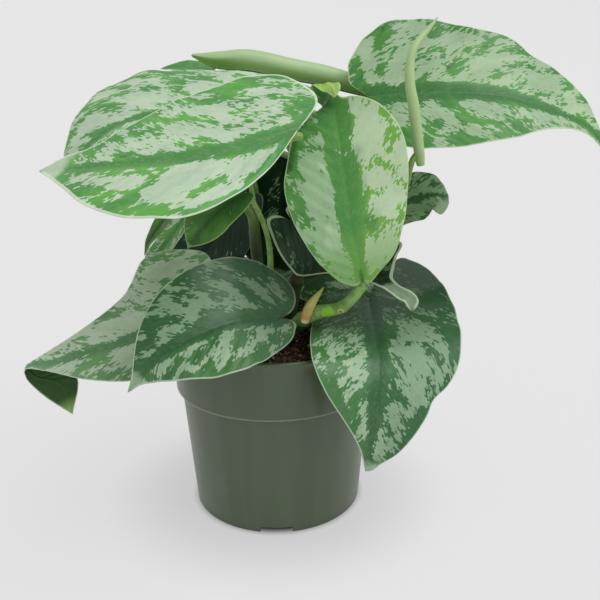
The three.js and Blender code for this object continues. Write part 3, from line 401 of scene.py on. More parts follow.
        rib=[(-11, -32, 169), (-20, -36, 164), (-29, -40, 156), (-37, -40, 146)],
        face=[(-0.3, -0.9, 0.3), (-0.1, -0.9, 0.2)], half=(11, 9), belly=(0.5, 0.5), wave=0.4,
        rows=48, columns=12, look="hanging", cover=0.15, band=(1.5, 1, 0.5),
    ),
    "leaf_inner": dict(
        rib=[
            (9.6, -3.8, 149.6), (27, -13, 140.3), (42, -26, 132.6), (51.5, -36, 128.8),
            (57.1, -44, 126), (61.6, -48, 123.4), (62.8, -50, 118),
        ],
        face=[(0, -0.6, 0.75), (0, -0.7, 0.7), (0.3, -0.8, 0.5)], half=(25, 18),
        outline=(
            [
                (-0.1, 0.1), (-0.12, 0.3), (-0.013, 0.6), (0.109, 0.874), (0.27, 0.989),
                (0.347, 0.88), (0.456, 0.52), (0.576, 0.309), (0.714, 0.212), (0.83, 0.153),
                (0.913, 0.144), (0.975, 0.07),
            ],
            [
                (-0.08, 0.2), (-0.06, 0.5), (0.1, 0.85), (0.3, 1.08), (0.45, 1.2), (0.551, 1.2),
                (0.634, 1.137), (0.665, 0.75), (0.704, 0.427), (0.745, 0.19), (0.814, 0.143),
                (0.912, 0.19), (0.95, 0.22), (0.98, 0.12),
            ],
        ),
        look="inner", cover=0.36, band=(3, 3, 2, 1), pale_tip=0.75, rim=0.1,
    ),
    "leaf_small_left": dict(
        rib=[(-43, -14, 166), (-50, -18, 154), (-57, -22, 144.5), (-59.5, -24, 138.3)],
        face=[(-0.5, -0.5, 0.4), (-0.6, -0.5, 0.4)], half=(6, 6), wave=0.3, rows=40, columns=10,
        look="hanging", cover=0.3, band=(0.8, 0.5, 0.2),
    ),
    "leaf_strip_left": dict(
        rib=[(-43, 10, 150), (-56, 5, 133), (-65, 2, 121), (-77, 0, 109)],
        face=[(-0.5, -0.6, 0.6), (-0.5, -0.6, 0.6)], half=(8, 7), wave=0.3, rows=48, columns=10,
        look="young", cover=0.55, band=(1, 0.7, 0.3),
    ),
    "leaf_right_back": dict(
        rib=[
            (41.3, 34, 132.2), (58.1, 28, 145.9), (72.7, 22, 153.8), (83.8, 18, 156.6),
            (89.2, 16, 153.3),
        ],
        face=[(0, -0.6, 0.7), (0.2, -0.6, 0.7)], half=(18, 18), wave=0,
        outline=(
            [
                (-0.05, 0.3), (0.05, 0.65), (0.3, 0.9), (0.605, 0.818), (0.764, 0.881), (0.9, 0.66),
                (1.003, 0.619), (1.015, 0.257),
            ],
            [
                (-0.05, 0.3), (0.05, 0.65), (0.3, 0.95), (0.5, 1), (0.66, 0.959), (0.773, 0.84),
                (0.84, 0.73), (0.882, 0.493), (0.923, 0.272), (0.958, 0.175),
            ],
        ),
        look="old", cover=0.85, band=(1, 1, 0.5), blotch=4, rim=0.02,
    ),
    "leaf_back_left_low": dict(
        rib=[(-12, 18, 158), (-20, 24, 147), (-35, 34, 127), (-51, 43, 106), (-57, 47, 86)],
        face=[(-0.2, -0.8, 0.6), (-0.5, -0.6, 0.3)], half=(27, 24), look="shaded", cover=0.05,
        band=(3, 3, 2, 1), swell=0.3,
    ),
    "leaf_back_right_low": dict(
        rib=[(17, 25, 108), (30, 28, 113), (46, 33, 112), (60, 42, 104), (70, 52, 84)],
        face=[(0, -0.8, 0.6), (0.3, -0.6, 0.5)], half=(16.5, 12), look="old", cover=0.5,
        band=(3, 3, 2, 1),
    ),
    "leaf_back_left_high": dict(
        rib=[(9, 20, 184), (-13, 48, 184), (-40, 74, 177), (-69, 90, 164)],
        face=[(0, 0.2, 1), (-0.3, 0.4, 0.9)], half=(30, 30), look="young", cover=0.58,
        band=(4, 4, 3, 1),
    ),
    "leaf_back_right_high": dict(
        rib=[(39, 22, 195), (64, 50, 200), (96, 78, 200), (126, 98, 191)],
        face=[(0, 0.2, 1), (0.3, 0.4, 0.9)], half=(30, 30), look="young", cover=0.58,
        band=(4, 4, 3, 1),
    ),
    "leaf_back_low": dict(
        rib=[(1, 24, 102), (1, 38, 108), (5, 54, 111), (9, 70, 101), (12, 81, 80)],
        face=[(0, -0.3, 0.9), (0, 0.2, 0.9), (0, 1, 0.3)], half=(16, 26), belly=(0.38, 0.46),
        look="old", cover=0.5, band=(3, 3, 2, 1),
    ),
    "leaf_back_middle": dict(
        rib=[(9, 27, 173), (8, 31, 155), (4, 33, 134), (-1, 33, 112)],
        face=[(0.1, -0.9, 0.3), (0.1, -0.9, 0.1)], half=(26, 22), belly=(0.5, 0.46), taper=(-1, -1),
        look="shaded", cover=0.15, band=(3, 3, 2, 1), swell=0.4,
    ),
    "leaf_small_top": dict(
        rib=[(-29.3, 29, 219.7), (-41.2, 28.5, 220.8), (-55, 28, 220.2)],
        face=[(0, -0.5, 0.8), (0, -0.5, 0.8)], half=(5, 5), wave=0.2, rows=40, columns=10,
        look="young", cover=0.3, band=(1, 1, 1),
    ),
}

LEAF_DEFAULTS = dict(
    lobe=(0.09, 0.09), belly=(0.32, 0.32), taper=(0.5, 0.5), fold=(8, 8), curl=(0, 0), wave=1.0,
    outline=(None, None), rails=None, rows=110, columns=24, slant=0.9, pale_tip=0.93, blotch=8,
    hem=0.06, rim=0.05, streaks=(), bright=0, dusk=0, lime=0, swell=1, ruffle=1,
)

BLADE_THICKNESS = 0.6
MARGIN_THINNING = 0.3
MARGIN_ROUNDING = 0.5
GROOVE_DEPTH = 0.25
GROOVE_WIDTH = 1.1
RIB_HEIGHT = 0.9
RIB_WIDTH = 0.9
SIDE_VEIN_SPACING = 6.5
SIDE_VEIN_BEND = 0.006
SIDE_VEIN_RELIEF = 0.16
FULL_RELIEF_HALF = 25
WAVES = 2.5
WAVE_LAG = 1.3
FLUTTER = 0.45
FLUTTER_WAVES = 5.3
FLUTTER_EXTRA = 1.1
LEAST_CURL = 1e-4
SEEDS = 50

# ---- Measures of the stems ------------------------------------------------------------------
# Each trunk stands in the soil; a petiole starts inside its trunk and ends under its leaf.
# `radii` are spread from the first point to the last. A swell is (share along, part of the
# radius, width as a share), a landing says where a petiole's last points lie at its leaf, and
# each _MESH is the points round a tube and the mm between its rings.

SOIL_FOOT = 76
PETIOLE_TIP_RADIUS = 1.2
PETIOLE_FOOT_RADIUS = 1.9
PETIOLE_SWELLS = ((0, 0.35, 0.08), (0.93, 0.12, 0.05))
PETIOLE_LANDING = ((-1, 3.8), (2, 1.9), (6, 1.45))
SPEAR_LANDING = 0.1
ROLLED_LANDING = (6, 2, -3)
JOINT_SHARES = (0.3, 0.48, 0.64, 0.8)
JOINT_SWELL = 0.13
JOINT_WIDTH = 0.012
TRUNK_MESH = (28, 0.7)
PETIOLE_MESH = (16, 1.2)
SHEATH_MESH = (24, 0.5)
LEAST_TUBE_ROWS = 8
SHEATH_FLATNESS = 0.75

STEMS = {
    "stem_front": dict(
        trunk=[
            (6, -12, SOIL_FOOT), (6, -12, 82), (6.5, -12.5, 92), (13, -24, 105), (22, -32, 112.2),
            (31.5, -36, 115.6), (37, -40, 121.5), (41, -42, 128),
        ],
        radii=(3.8, 3.8, 3.5, 2.8, 2.4),
        petioles={
            "leaf_centre": [(37, -40, 121.5), (41, -42, 128)],
            "leaf_low_right": [(7, -13, 94), (20, -4, 97), (36, 3, 99)],
        },
    ),
    "stem_back": dict(
        trunk=[
            (6, 6, SOIL_FOOT), (6, 6, 82), (6.5, 6.2, 92), (10, 8, 110), (20, 8, 150), (28, 5, 185),
            (36, 6, 203),
        ],
        radii=(3.6, 3.6, 3.2, 2.6, 2.2),
        petioles={
            "leaf_top_left_front": [
                (23, 5, 165), (15, -8, 178), (5, -26, 186), (3, -44, 191), (9, -60, 196),
            ],
            "leaf_top_left_back": [(28, 4, 187), (24, 0, 198), (18, -6, 202)],
            "leaf_top_right": [(32, 5, 196), (38, 6, 202)],
            "leaf_back_middle": [(26, 6, 177), (19, 17, 180), (10, 29, 180)],
            "leaf_right_back": [(12, 8, 118), (26, 16, 118), (37, 28, 121)],
            "leaf_inner": [(15, 7, 130), (8, 5, 142)],
            "leaf_back_left_high": [(25, 5, 172), (15, 14, 180)],
            "leaf_back_right_high": [(30, 4, 187), (36, 14, 190)],
            "leaf_back_low": [(7, 6.5, 94), (3, 15, 94.5)],
            "leaf_back_right_low": [(7.5, 7, 95), (12, 16, 94), (17, 24, 98)],
            "leaf_small_top": [(34, 6, 200), (31, 25, 203), (14, 33, 211), (-8, 33, 219)],
        },
    ),
    "stem_left": dict(
        trunk=[
            (-5, -3, SOIL_FOOT), (-5, -3, 82), (-5, -3.3, 92), (-6, -2, 110), (-9, 0, 135),
            (-11, 2, 152), (-20, 4, 162), (-34, 4, 160),
        ],
        radii=(3.6, 3.4, 2.6, 2, 1.6),
        petioles={
            "leaf_hanging": [
                (-5, -4, 103), (-1, -17, 128), (-1.5, -24, 145.7), (-3.9, -27, 155.4),
                (-6.5, -28, 161.7),
            ],
            "leaf_low_left_front": [(-5, -4, 98), (-1, -16, 101), (4, -32, 106)],
            "leaf_low_left_folded": [(-5.5, -3.5, 104), (-12, -12, 118)],
            "leaf_strip_left": [(-28, 4.2, 161.5), (-36, 9, 158)],
            "leaf_small_left": [(-30, 4, 161), (-37, -6, 166)],
            "leaf_back_left_low": [(-6.2, -2.5, 112), (-8, 4, 145), (-11, 10, 168), (-12, 17, 174)],
        },
    ),
}

# `turns` is how often a young leaf is rolled, `seam` the angle at which it starts, and `at_end`
# says that its petiole runs into its last point. `tones` and `mouth` are for rolled_finish.

ROLLED_LEAVES = {
    "leaf_rolled": dict(
        points=[
            (-38.3, 20, 226.7), (-26.8, 20, 224.3), (-9.8, 20, 223.8), (9.5, 20, 219.6),
            (26.6, 21, 216.1), (39, 23, 212.5), (50.1, 26, 209.3),
        ],
        radii=(0.5, 4.2, 5.4, 5.6, 5.6, 5.5, 5.4, 5.2, 4.8),
        stem="stem_back",
        petiole=[(34, 6, 200), (44, 10, 202), (56, 20, 203)],
        at_end=True, turns=1.3, seam=2.6,
        tones=("A9C493", "86AB62", "5F9030"), mouth=0.35,
    ),
    "leaf_spear": dict(
        points=[
            (66.7, -36, 180.7), (65.6, -37, 187.5), (62.9, -36, 206.1), (61.3, -34, 215.1),
            (61.4, -31, 224.1), (62.9, -29, 229.4), (66.1, -26, 233.8), (69.6, -23, 237.3),
            (74.3, -20, 242.6),
        ],
        radii=(1.9, 2.5, 2.5, 2.5, 2.55, 2.5, 2.3, 2.2, 1.9, 1.65, 1.4, 0.95, 0.2),
        stem="stem_back",
        petiole=[
            (20, 6, 150), (36, 3, 153), (50, -12, 160), (61.2, -31, 173.3), (62.2, -35, 180.2),
            (62.9, -36.5, 183.7),
        ],
        at_end=False, turns=1.25, seam=3.1,
        tones=("A5BF88", "97B478", "8FBB58"), mouth=0.0,
    ),
}

SHEATHS = {
    "sheath_front": dict(
        points=[(15, -33.5, 107.9), (17.6, -36.5, 116.8), (23.8, -39, 126.5)],
        radii=(1.8, 2.5, 2.4, 1.5, 0.3),
    ),
}

# ---- Measures of the pot and the soil -------------------------------------------------------

POT_RIM_RADIUS = 52.5
POT_HEIGHT = 94.6
POT_BASE_RADIUS = 43.3
POT_NECK_RADIUS = 48.7
POT_BAND_BOTTOM = 65
POT_BAND_RADIUS = 51.3
POT_WALL = 1.4
POT_FLOOR = 2
DRAIN_COUNT = 4
DRAIN_WIDTH = 16
DRAIN_HEIGHT = 3.2
DRAIN_DEPTH = 5
DRAIN_BEYOND = 4
POT_SIDES = 192
POT_TAPER = [(44.2, 11), (45.6, 28), (47.1, 46)]
POT_CORNER = 40

SOIL_LEVEL = 89
SOIL_RELIEF = 1.1
SOIL_RADIUS = 50.0
SOIL_WALL = [(40.8, POT_FLOOR + 0.6), (46.6, POT_BAND_BOTTOM - 1.2), (49.4, POT_BAND_BOTTOM + 1.2)]
SOIL_SIDES = 160
SOIL_RINGS = 70
SOIL_INNERMOST = 0.014
CRUMB_WAVES = 24
CRUMB_WAVE_RANGE = (1.2, 4.0)
CRUMB_RELIEF = 0.12
LUMPS_OUT_TO = 0.985
LUMP_ROUGHNESS = (0.65, 1.2)
LUMP_SQUASH = (0.5, 0.9)
LUMP_LIFT = 0.25

# Lumps are given as how many, the range of their radii in mm and how far they may be drawn out.

CRUMBS = (1500, (0.5, 1.5), 1.6)
PERLITE = (40, (0.5, 1.1), 1.2)

# ---- Curves ---------------------------------------------------------------------------------


def unit(vectors):
    """Each vector divided by its length."""
    return vectors / np.maximum(np.linalg.norm(vectors, axis=-1, keepdims=True), 1e-12)


class Path:
    """A centripetal Catmull-Rom curve through points, measured by its own length.

    On each span the curve is a cubic that leaves and arrives along the slopes which the square
    roots of the neighbouring spans give; past the ends the first and last spans are mirrored."""

    def __init__(self, points, per_span=80):
        points = np.asarray(points, float)
        all_points = np.vstack([2 * points[0] - points[1], points, 2 * points[-1] - points[-2]])
        knots = np.sqrt(np.linalg.norm(np.diff(all_points, axis=0), axis=1))[:, None]
        before, here, after = knots[:-2], knots[1:-1], knots[2:]
        p0, p1, p2, p3 = all_points[:-3], all_points[1:-2], all_points[2:-1], all_points[3:]
        leave = here * ((p1 - p0) / before - (p2 - p0) / (before + here) + (p2 - p1) / here)
        arrive = here * ((p2 - p1) / here - (p3 - p1) / (here + after) + (p3 - p2) / after)
        t = np.linspace(0, 1, per_span, endpoint=False)[None, :, None]
        p1, p2, leave, arrive = (a[:, None, :] for a in (p1, p2, leave, arrive))
        square = 3 * (p2 - p1) - 2 * leave - arrive
        cube = 2 * (p1 - p2) + leave + arrive
        spans = p1 + leave * t + square * t**2 + cube * t**3
        self.line = np.vstack([spans.reshape(-1, points.shape[1]), points[-1:]])
        steps = np.linalg.norm(np.diff(self.line, axis=0), axis=1)
        self.run = np.concatenate([[0], np.cumsum(steps)])
        self.length = self.run[-1]
        self.knots = np.append(self.run[:-1].reshape(-1, per_span)[:, 0], self.length)

    def at(self, distance):
        """The point so many mm along the curve."""
        return np.stack([np.interp(distance, self.run, axis) for axis in self.line.T], -1)

    def at_knot(self, number):
        """The point at a whole or broken count of the points that the curve was given."""
        return self.at(np.interp(number, np.arange(len(self.knots)), self.knots))

    def heading(self, distance, step=0.4):
        """The direction from one step behind to one step ahead."""
        ahead = np.minimum(distance + step, self.length)
        behind = np.maximum(distance - step, 0)
        return unit(self.at(ahead) - self.at(behind))


def spread(values, share, rounding=0.05):
    """A number or a list of numbers or directions spread evenly from base (0) to tip (1), read at
    `share`; the corners between its straight stretches are rounded by averaging over
    2 * rounding."""
    values = np.asarray(values, float)
    if values.ndim == 0:
        return np.full(np.shape(share), float(values))
    if values.ndim == 2:
        return np.stack([spread(axis, share, rounding) for axis in values.T], -1)
    knots = np.linspace(0, 1, len(values))
    nearby = np.clip([share + step for step in np.linspace(-rounding, rounding, 9)], 0, 1)
    return np.mean([np.interp(spot, knots, values) for spot in nearby], axis=0)


def seeded(name):
    """A random generator that depends on a piece's name alone."""
    letters = (ord(letter) * (place + 1) for place, letter in enumerate(name))
    return np.random.default_rng(sum(letters))


def bell(distance, width):
    """1 at no distance, and exp(-(distance / width)^2) away from it."""
    return np.exp(-((distance / width) ** 2))


# ---- Meshes ---------------------------------------------------------------------------------


class Patch:
    """Points, faces and marks of one closed surface; `finish` picks its material in the piece.

    `place` and `blade` are the values that the materials read at each point; without them the
    first is where the point lies and the second is zero."""

    def __init__(self, points, faces, place=None, blade=None, finish=0):
        self.points = points
        self.faces = faces
        self.place = points / CM if place is None else place
        self.blade = np.zeros_like(points) if blade is None else blade
        self.finish = finish


def add_marks(mesh, name, values):
    """Gives each point of the mesh a vector that materials read by its name."""
    layer = mesh.attributes.new(name, "FLOAT_VECTOR", "POINT")
    layer.data.foreach_set("vector", np.ascontiguousarray(values, np.float32).ravel())


def joined_mesh(name, patches):
    """One mesh in metres from patches given in mm."""
    faces, first = [], 0
    for patch in patches:
        faces += [tuple(corner + first for corner in face) for face in patch.faces]
        first += len(patch.points)
    mesh = bpy.data.meshes.new(name)
    mesh.from_pydata((np.vstack([p.points for p in patches]) * MM).tolist(), [], faces)
    return mesh


def make_piece(name, patches, materials, node):
    """One object from patches, at the origin, riding on the plant."""
    mesh = joined_mesh(name, patches)
    for material in materials:
        mesh.materials.append(material)
    finishes = [np.broadcast_to(patch.finish, len(patch.faces)) for patch in patches]
    mesh.polygons.foreach_set("material_index", np.concatenate(finishes).astype(np.int32))
    add_marks(mesh, "place", np.vstack([p.place for p in patches]))
    add_marks(mesh, "blade", np.vstack([p.blade for p in patches]))
    mesh.shade_smooth()
    mesh.update()
    piece = put(name, mesh)
    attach(piece, BODY)
    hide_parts(node)
    return piece


def strips(grid, turned=False):
    """Quads between neighbouring rows and columns of an index grid, columns x rows outward."""
    corners = [grid[:-1, :-1], grid[:-1, 1:], grid[1:, 1:], grid[1:, :-1]]
    if turned:
        corners.reverse()
    return np.stack(corners, -1).reshape(-1, 4)


def fan(pole, ring):
    """Triangles from a pole to each pair of neighbours in a ring, outward where strips is."""
    return np.stack([np.full(len(ring) - 1, pole), ring[1:], ring[:-1]], -1)


def looped(rows, sides):
    """The numbers of the points in rows of rings, with the first of each ring again at its end."""
    index = np.arange(rows * sides).reshape(rows, sides)
    return np.concatenate([index, index[:, :1]], 1)


def wrapped(rows, sides):
    """Faces round rows of rings, closed by fans to the two points that follow the rings."""
    index, foot = looped(rows, sides), rows * sides
    ends = [fan(foot, index[0]), fan(foot + 1, index[-1][::-1])]
    return [*strips(index).tolist(), *ends[0].tolist(), *ends[1].tolist()]


def rings(radius, height, angle):
    """Rings of points about Z; the height may change from ring to ring and along each ring."""
    axes = np.broadcast_arrays(radius * np.cos(angle), radius * np.sin(angle), height)
    return np.stack(axes, -1)


def round_angles(sides):
    """The directions of `sides` points evenly round a ring."""
    return np.linspace(0, 2 * np.pi, sides, endpoint=False)


def lone_mark(values):
    """Marks whose first part is given and whose other parts are zero."""
    return np.pad(values[:, None], ((0, 0), (0, 2)))


def closed_sheet(upper, lower, place, blade):
    """A thin sheet with two faces that meet along its margins and at both ends.

    `upper` and `lower` are (rows, columns, 3) grids whose first and last rows are single points
    and whose first and last columns are shared. The faces of the upper side come first and have
    the finish 0; those of the lower side have 1."""
    rows, columns = upper.shape[:2]
    inner = rows - 2
    above = np.arange(inner * columns).reshape(inner, columns)
    below = above.copy()
    below[:, 1:-1] = above.size + np.arange(inner * (columns - 2)).reshape(inner, columns - 2)
    base = above.size + inner * (columns - 2)
    tip = base + 1

    def ordered(top, bottom):
        inside = [top[1:-1].reshape(-1, 3), bottom[1:-1, 1:-1].reshape(-1, 3)]
        return np.vstack([*inside, top[:1, 0], top[-1:, 0]])

    over = [strips(above), fan(base, above[0]), fan(tip, above[-1][::-1])]
    under = [strips(below, turned=True), fan(base, below[0][::-1]), fan(tip, below[-1])]
    faces = [face for part in over + under for face in part.tolist()]
    side = np.arange(len(faces)) >= sum(len(part) for part in over)
    return Patch(ordered(upper, lower), faces, ordered(place, place), ordered(blade, blade), side)


def sheet_normals(grid):
    """Unit normals of a grid, (along the columns) x (along the rows). The first and last rows,
    which are single points, take the mean of their neighbours."""
    normals = unit(np.cross(np.gradient(grid, axis=1), np.gradient(grid, axis=0)))
    normals[0] = unit(normals[1].mean(0))
    normals[-1] = unit(normals[-2].mean(0))
    return normals


# ---- Leaf blades ----------------------------------------------------------------------------


def half_outline(lobe, belly, taper):
    """Half a heart as (share of the rib, share of the half width) pairs: out round the basal lobe,
    over the belly and in to the pointed tip. Behind the belly the pairs scale with it, before it
    with what is left of the rib; `taper` draws them in toward the rib."""
    rest = 1 - belly
    return np.array([
        (0, 0),
        (-0.7 * lobe, 0.12),
        (-lobe, 0.34),
        (0.25 * belly - 0.6 * lobe, 0.74),
        (belly, 1),
        (belly + 0.36 * rest, 0.91 - 0.05 * taper),
        (belly + 0.62 * rest, 0.68 - 0.13 * taper),
        (belly + 0.8 * rest, 0.42 - 0.17 * taper),
        (belly + 0.91 * rest, 0.2 - 0.13 * taper),
        (1, 0),
    ])


def rib_frame(leaf, share):
    """Point, heading, upward direction and rightward direction of the midrib at each share."""
    distance = share * leaf["length"]
    heading = leaf["path"].heading(distance)
    facing = spread(unit(np.asarray(leaf["face"], float)), share)
    up = unit(facing - heading * np.sum(facing * heading, -1, keepdims=True))
    return leaf["path"].at(distance), heading, up, np.cross(heading, up)


def blade_points(leaf, u, v):
    """The middle of the blade at u mm along the rib and v mm across it.

    Across the rib each half is an arc. At the share a of its half width w its slope is
    fold + curl * a, so it has gone out by w / curl * (sin(slope) - sin(fold)) and up by
    w / curl * (cos(fold) - cos(slope)). On it ride the broad waves of the margin, as the square
    of a, and the fine ones, as its cube. Both are sines of the share along the rib."""
    share = np.clip(u / leaf["length"], 0, 1)
    point, heading, up, right = rib_frame(leaf, share)
    point = point + heading * (u - share * leaf["length"])[..., None]
    half = (v < 0).astype(int)
    width = np.choose(half, leaf["half"])
    across = np.abs(v) / width
    fold, curl = (
        np.radians(np.choose(half, [spread(side, share) for side in leaf[measure]]))
        for measure in ("fold", "curl")
    )
    curl = np.where(np.abs(curl) < LEAST_CURL, LEAST_CURL, curl)
    slope = fold + curl * across
    out = width / curl * (np.sin(slope) - np.sin(fold)) * np.sign(v)
    rise = width / curl * (np.cos(fold) - np.cos(slope))
    rise += leaf["wave"] * np.sin(2 * np.pi * WAVES * share + WAVE_LAG * half) * across**2
    beat = 2 * np.pi * (FLUTTER_WAVES + FLUTTER_EXTRA * half) * share + leaf["phase"]
    rise += leaf["flutter"] * np.sin(beat) * across**3
    return point + right * out[..., None] + up * rise[..., None]


def vein_number(leaf, u, v):
    """Counts side veins: each leaves the midrib and runs ahead by `slant` for each mm across,
    bending further ahead with the square of the mm across."""
    ahead = leaf["slant"] * np.abs(v) + SIDE_VEIN_BEND * v**2
    return (u - ahead) / SIDE_VEIN_SPACING


def streak_lean(leaf, u, v):
    """The sum over the streaks of exp(-(d / reach)^2), green ones below zero, where d is the
    distance to the streak's line. Where green streaks overlap it falls below -1."""
    lean = np.zeros_like(u)
    spot = np.stack([u, v], -1)
    for from_share, from_across, to_share, to_across, reach in leaf["streaks"]:
        start = np.array([from_share * leaf["length"], from_across])
        run = np.array([to_share * leaf["length"], to_across]) - start
        reached = np.clip((spot - start) @ run / max(run @ run, 1e-9), 0, 1)
        away = np.linalg.norm(spot - start - reached[..., None] * run, axis=-1)
        lean += np.sign(reach) * bell(away, reach)
    return np.clip(lean, -2, 1)


def complete_leaf(name):
    """The measures of a leaf with the defaults, its rib as a curve and what is drawn for it."""
    leaf = {**LEAF_DEFAULTS, **LEAVES[name]}
    if leaf["rails"]:
        leaf["rib"] = leaf["rails"][1]
    leaf["path"] = Path(leaf["rib"])
    leaf["length"] = leaf["path"].length
    draw = seeded(name)
    size = min(1.0, max(leaf["half"]) / FULL_RELIEF_HALF)
    leaf["phase"] = draw.uniform(0, 2 * np.pi)
    leaf["flutter"] = FLUTTER * size * leaf["ruffle"]
    leaf["relief"] = SIDE_VEIN_RELIEF * size * leaf["swell"]
    leaf["seed"] = draw.uniform(0, SEEDS)
    return leaf


def reach_list(columns, half):
    """Shares across one half from the midrib (0) to the margin (1): even steps drawn closer at
    both ends by 0.45 t + 0.55 (3 t^2 - 2 t^3), then three short steps round the margin."""
    rounding = MARGIN_ROUNDING / half
    even = np.linspace(0, 1, columns)
    drawn = (0.45 * even + 0.55 * (3 * even**2 - 2 * even**3)) * (1 - rounding)
    return np.concatenate([drawn, 1 - rounding * np.array([0.55, 0.2, 0])])


def margin_line(leaf, side):
    """The margin of one half in mm along and across: its own outline, or half a heart."""
    outline = leaf["outline"][side]
    if outline is None:
        outline = half_outline(*(leaf[part][side] for part in ("lobe", "belly", "taper")))
    else:
        outline = np.array([(0, 0), *outline, (1, 0)])
    return Path(outline * [leaf["length"], leaf["half"][side]])


def heart_grid(leaf, share, signed):
    """Rows run from the sinus to the tip and fan out from the rib to the margin. The row at share
    s leaves the rib at 0.3 s + 0.7 s^2 of its length and meets the margin at s of the margin's;
    in between, u grows as the power 1.15 of the way across. Gives the points, u, v, and the half
    width of each row on each side."""
    margins = [margin_line(leaf, side) for side in (0, 1)]
    foot = leaf["length"] * (0.3 * share + 0.7 * share**2)
    edges = [margin.at(share * margin.length) for margin in margins]
    edge = np.where((signed < 0)[None, :, None], edges[1][:, None], edges[0][:, None])
    far = np.abs(signed)[None]
    u = foot[:, None] + (edge[..., 0] - foot[:, None]) * far**1.15
    v = np.sign(signed) * edge[..., 1] * far
    return blade_points(leaf, u, v), u, v, edge[..., 1]


def railed_grid(leaf, share, signed):
    """Each row is the parabola through the left margin, the rib and the right margin."""
    number = share * (len(leaf["rib"]) - 1)
    left, rib, right = (Path(rail).at_knot(number)[:, None] for rail in leaf["rails"])
    c = signed[None, :, None]
    points = left * (c * (c - 1) / 2) + rib * (1 - c**2) + right * (c * (c + 1) / 2)
    width = np.linalg.norm(np.where(c < 0, left, right) - rib, axis=-1)
    u = (share * leaf["length"])[:, None] * np.ones_like(width)
    return points, u, signed * width, width


def blade_patch(leaf):
    """Both faces of a blade: they lie half the thickness from its middle and meet in a round
    margin, where the thickness falls off as a quarter of a circle. The middle swells as the
    cosine of the vein number. A groove follows the midrib above and a rib, lower and narrower
    toward the tip, below; both have a bell for a section."""
    share = np.linspace(0, 1, leaf["rows"] + 1)
    reach = [reach_list(leaf["columns"], half) for half in leaf["half"]]
    signed = np.concatenate([-reach[1][:0:-1], reach[0]])
    far = np.abs(signed)[None]
    grid = railed_grid if leaf["rails"] else heart_grid
    middle, u, v, half_width = grid(leaf, share, signed)
    normals = sheet_normals(middle)
    veins = vein_number(leaf, u, v)
    along = np.clip(u / leaf["length"], 0, 1)
    ends = np.clip(np.minimum(share, 1 - share)[:, None] * leaf["rows"], 0, 1)
    between = np.clip(4 * far * (1.1 - far), 0, 1)
    swelling = leaf["relief"] * np.cos(2 * np.pi * veins) * between
    middle = middle + normals * (swelling * ends)[..., None]
    width = np.where(signed < 0, leaf["half"][1], leaf["half"][0])
    to_margin = (1 - far) * width
    lens = np.sqrt(1 - (1 - np.clip(to_margin / MARGIN_ROUNDING, 0, 1)) ** 2) * ends
    thick = BLADE_THICKNESS / 2 * (1 - MARGIN_THINNING * far**2) * lens
    groove = GROOVE_DEPTH * (1 - along) ** 0.5 * bell(v, GROOVE_WIDTH) * ends
    keel = RIB_HEIGHT * (1 - 0.85 * along) * bell(v, RIB_WIDTH * (1.1 - 0.6 * along)) * ends
    upper = middle + normals * (thick - groove)[..., None]
    lower = middle - normals * (thick + keel)[..., None]
    place = np.stack([veins * SIDE_VEIN_SPACING / CM, v / CM, streak_lean(leaf, u, v)], -1)
    clear = (np.abs(v) - spread(leaf["band"], along)) / CM
    edge_distance = (1 - far) * np.minimum(half_width, width) / CM
    return closed_sheet(upper, lower, place, np.stack([along, clear, edge_distance], -1))


# ---- Tubes: stems, petioles and sheaths -----------------------------------------------------


def tube_frame(path, distance):
    """Centre and two directions across the tube at each distance. The first is square to the
    heading and to the one direction from which the whole path departs least."""
    heading = path.heading(distance)
    steady = np.linalg.svd(heading)[2][-1]
    side = unit(np.cross(heading, steady))
    return path.at(distance), side, np.cross(heading, side)


def tube_patch(points, radii, sides, step, swells=(), flat=1.0, seed=0.0):
    """A closed tube whose radius is spread along it, times 1 + height * exp(-((t - share) /
    width)^2) at the share t for each of the `swells` (share, height, width). It is drawn in to
    `flat` of its width one way across. Its marks are the cm along it, the angle and `seed`."""
    path = Path(points)
    share = np.linspace(0, 1, max(LEAST_TUBE_ROWS, int(path.length / step)) + 1)
    distance = share * path.length
    centre, side, over = tube_frame(path, distance)
    radius = spread(radii, share, rounding=0.02)
    for middle, height, width in swells:
        radius = radius * (1 + height * bell(share - middle, width))
    angle = round_angles(sides)[None, :, None]
    ring = side[:, None] * np.cos(angle) + over[:, None] * (flat * np.sin(angle))
    shell = centre[:, None] + ring * radius[:, None, None]
    place = np.stack([
        np.append(np.repeat(distance, sides), [0, path.length]) / CM,
        np.append(np.tile(angle.ravel(), len(share)), [0, 0]),
        np.full(len(share) * sides + 2, seed),
    ], -1)
    blade = lone_mark(np.append(np.repeat(share, sides), [0, 1]))
    points = np.vstack([shell.reshape(-1, 3), centre[:1], centre[-1:]])
    return Patch(points, wrapped(len(share), sides), place, blade)


def end_under(leaf_name):
    """The last stretch of a petiole: it runs in under the blade and into its midrib."""
    leaf = complete_leaf(leaf_name)
    base, heading, up, _ = (a[0] for a in rib_frame(leaf, np.zeros(1)))
    return [tuple(base + heading * ahead - up * below) for ahead, below in PETIOLE_LANDING]


def end_against(points, at_end):
    """The last stretch of a petiole that runs into the last point of a rolled leaf, or else into
    its side near the first."""
    path = Path(points)
    if not at_end:
        return [tuple(path.at(SPEAR_LANDING * path.length))]
    heading = path.heading(np.array([path.length]))[0]
    return [tuple(np.array(points[-1]) + heading * beyond) for beyond in ROLLED_LANDING]


def petiole_patch(route, end, seed):
    """A petiole: a little flared where it clasps its trunk, thinner at the blade."""
    radii = (PETIOLE_FOOT_RADIUS, 0.8 * PETIOLE_FOOT_RADIUS, PETIOLE_TIP_RADIUS, PETIOLE_TIP_RADIUS)
    return tube_patch([*route, *end], radii, *PETIOLE_MESH, PETIOLE_SWELLS, seed=seed)


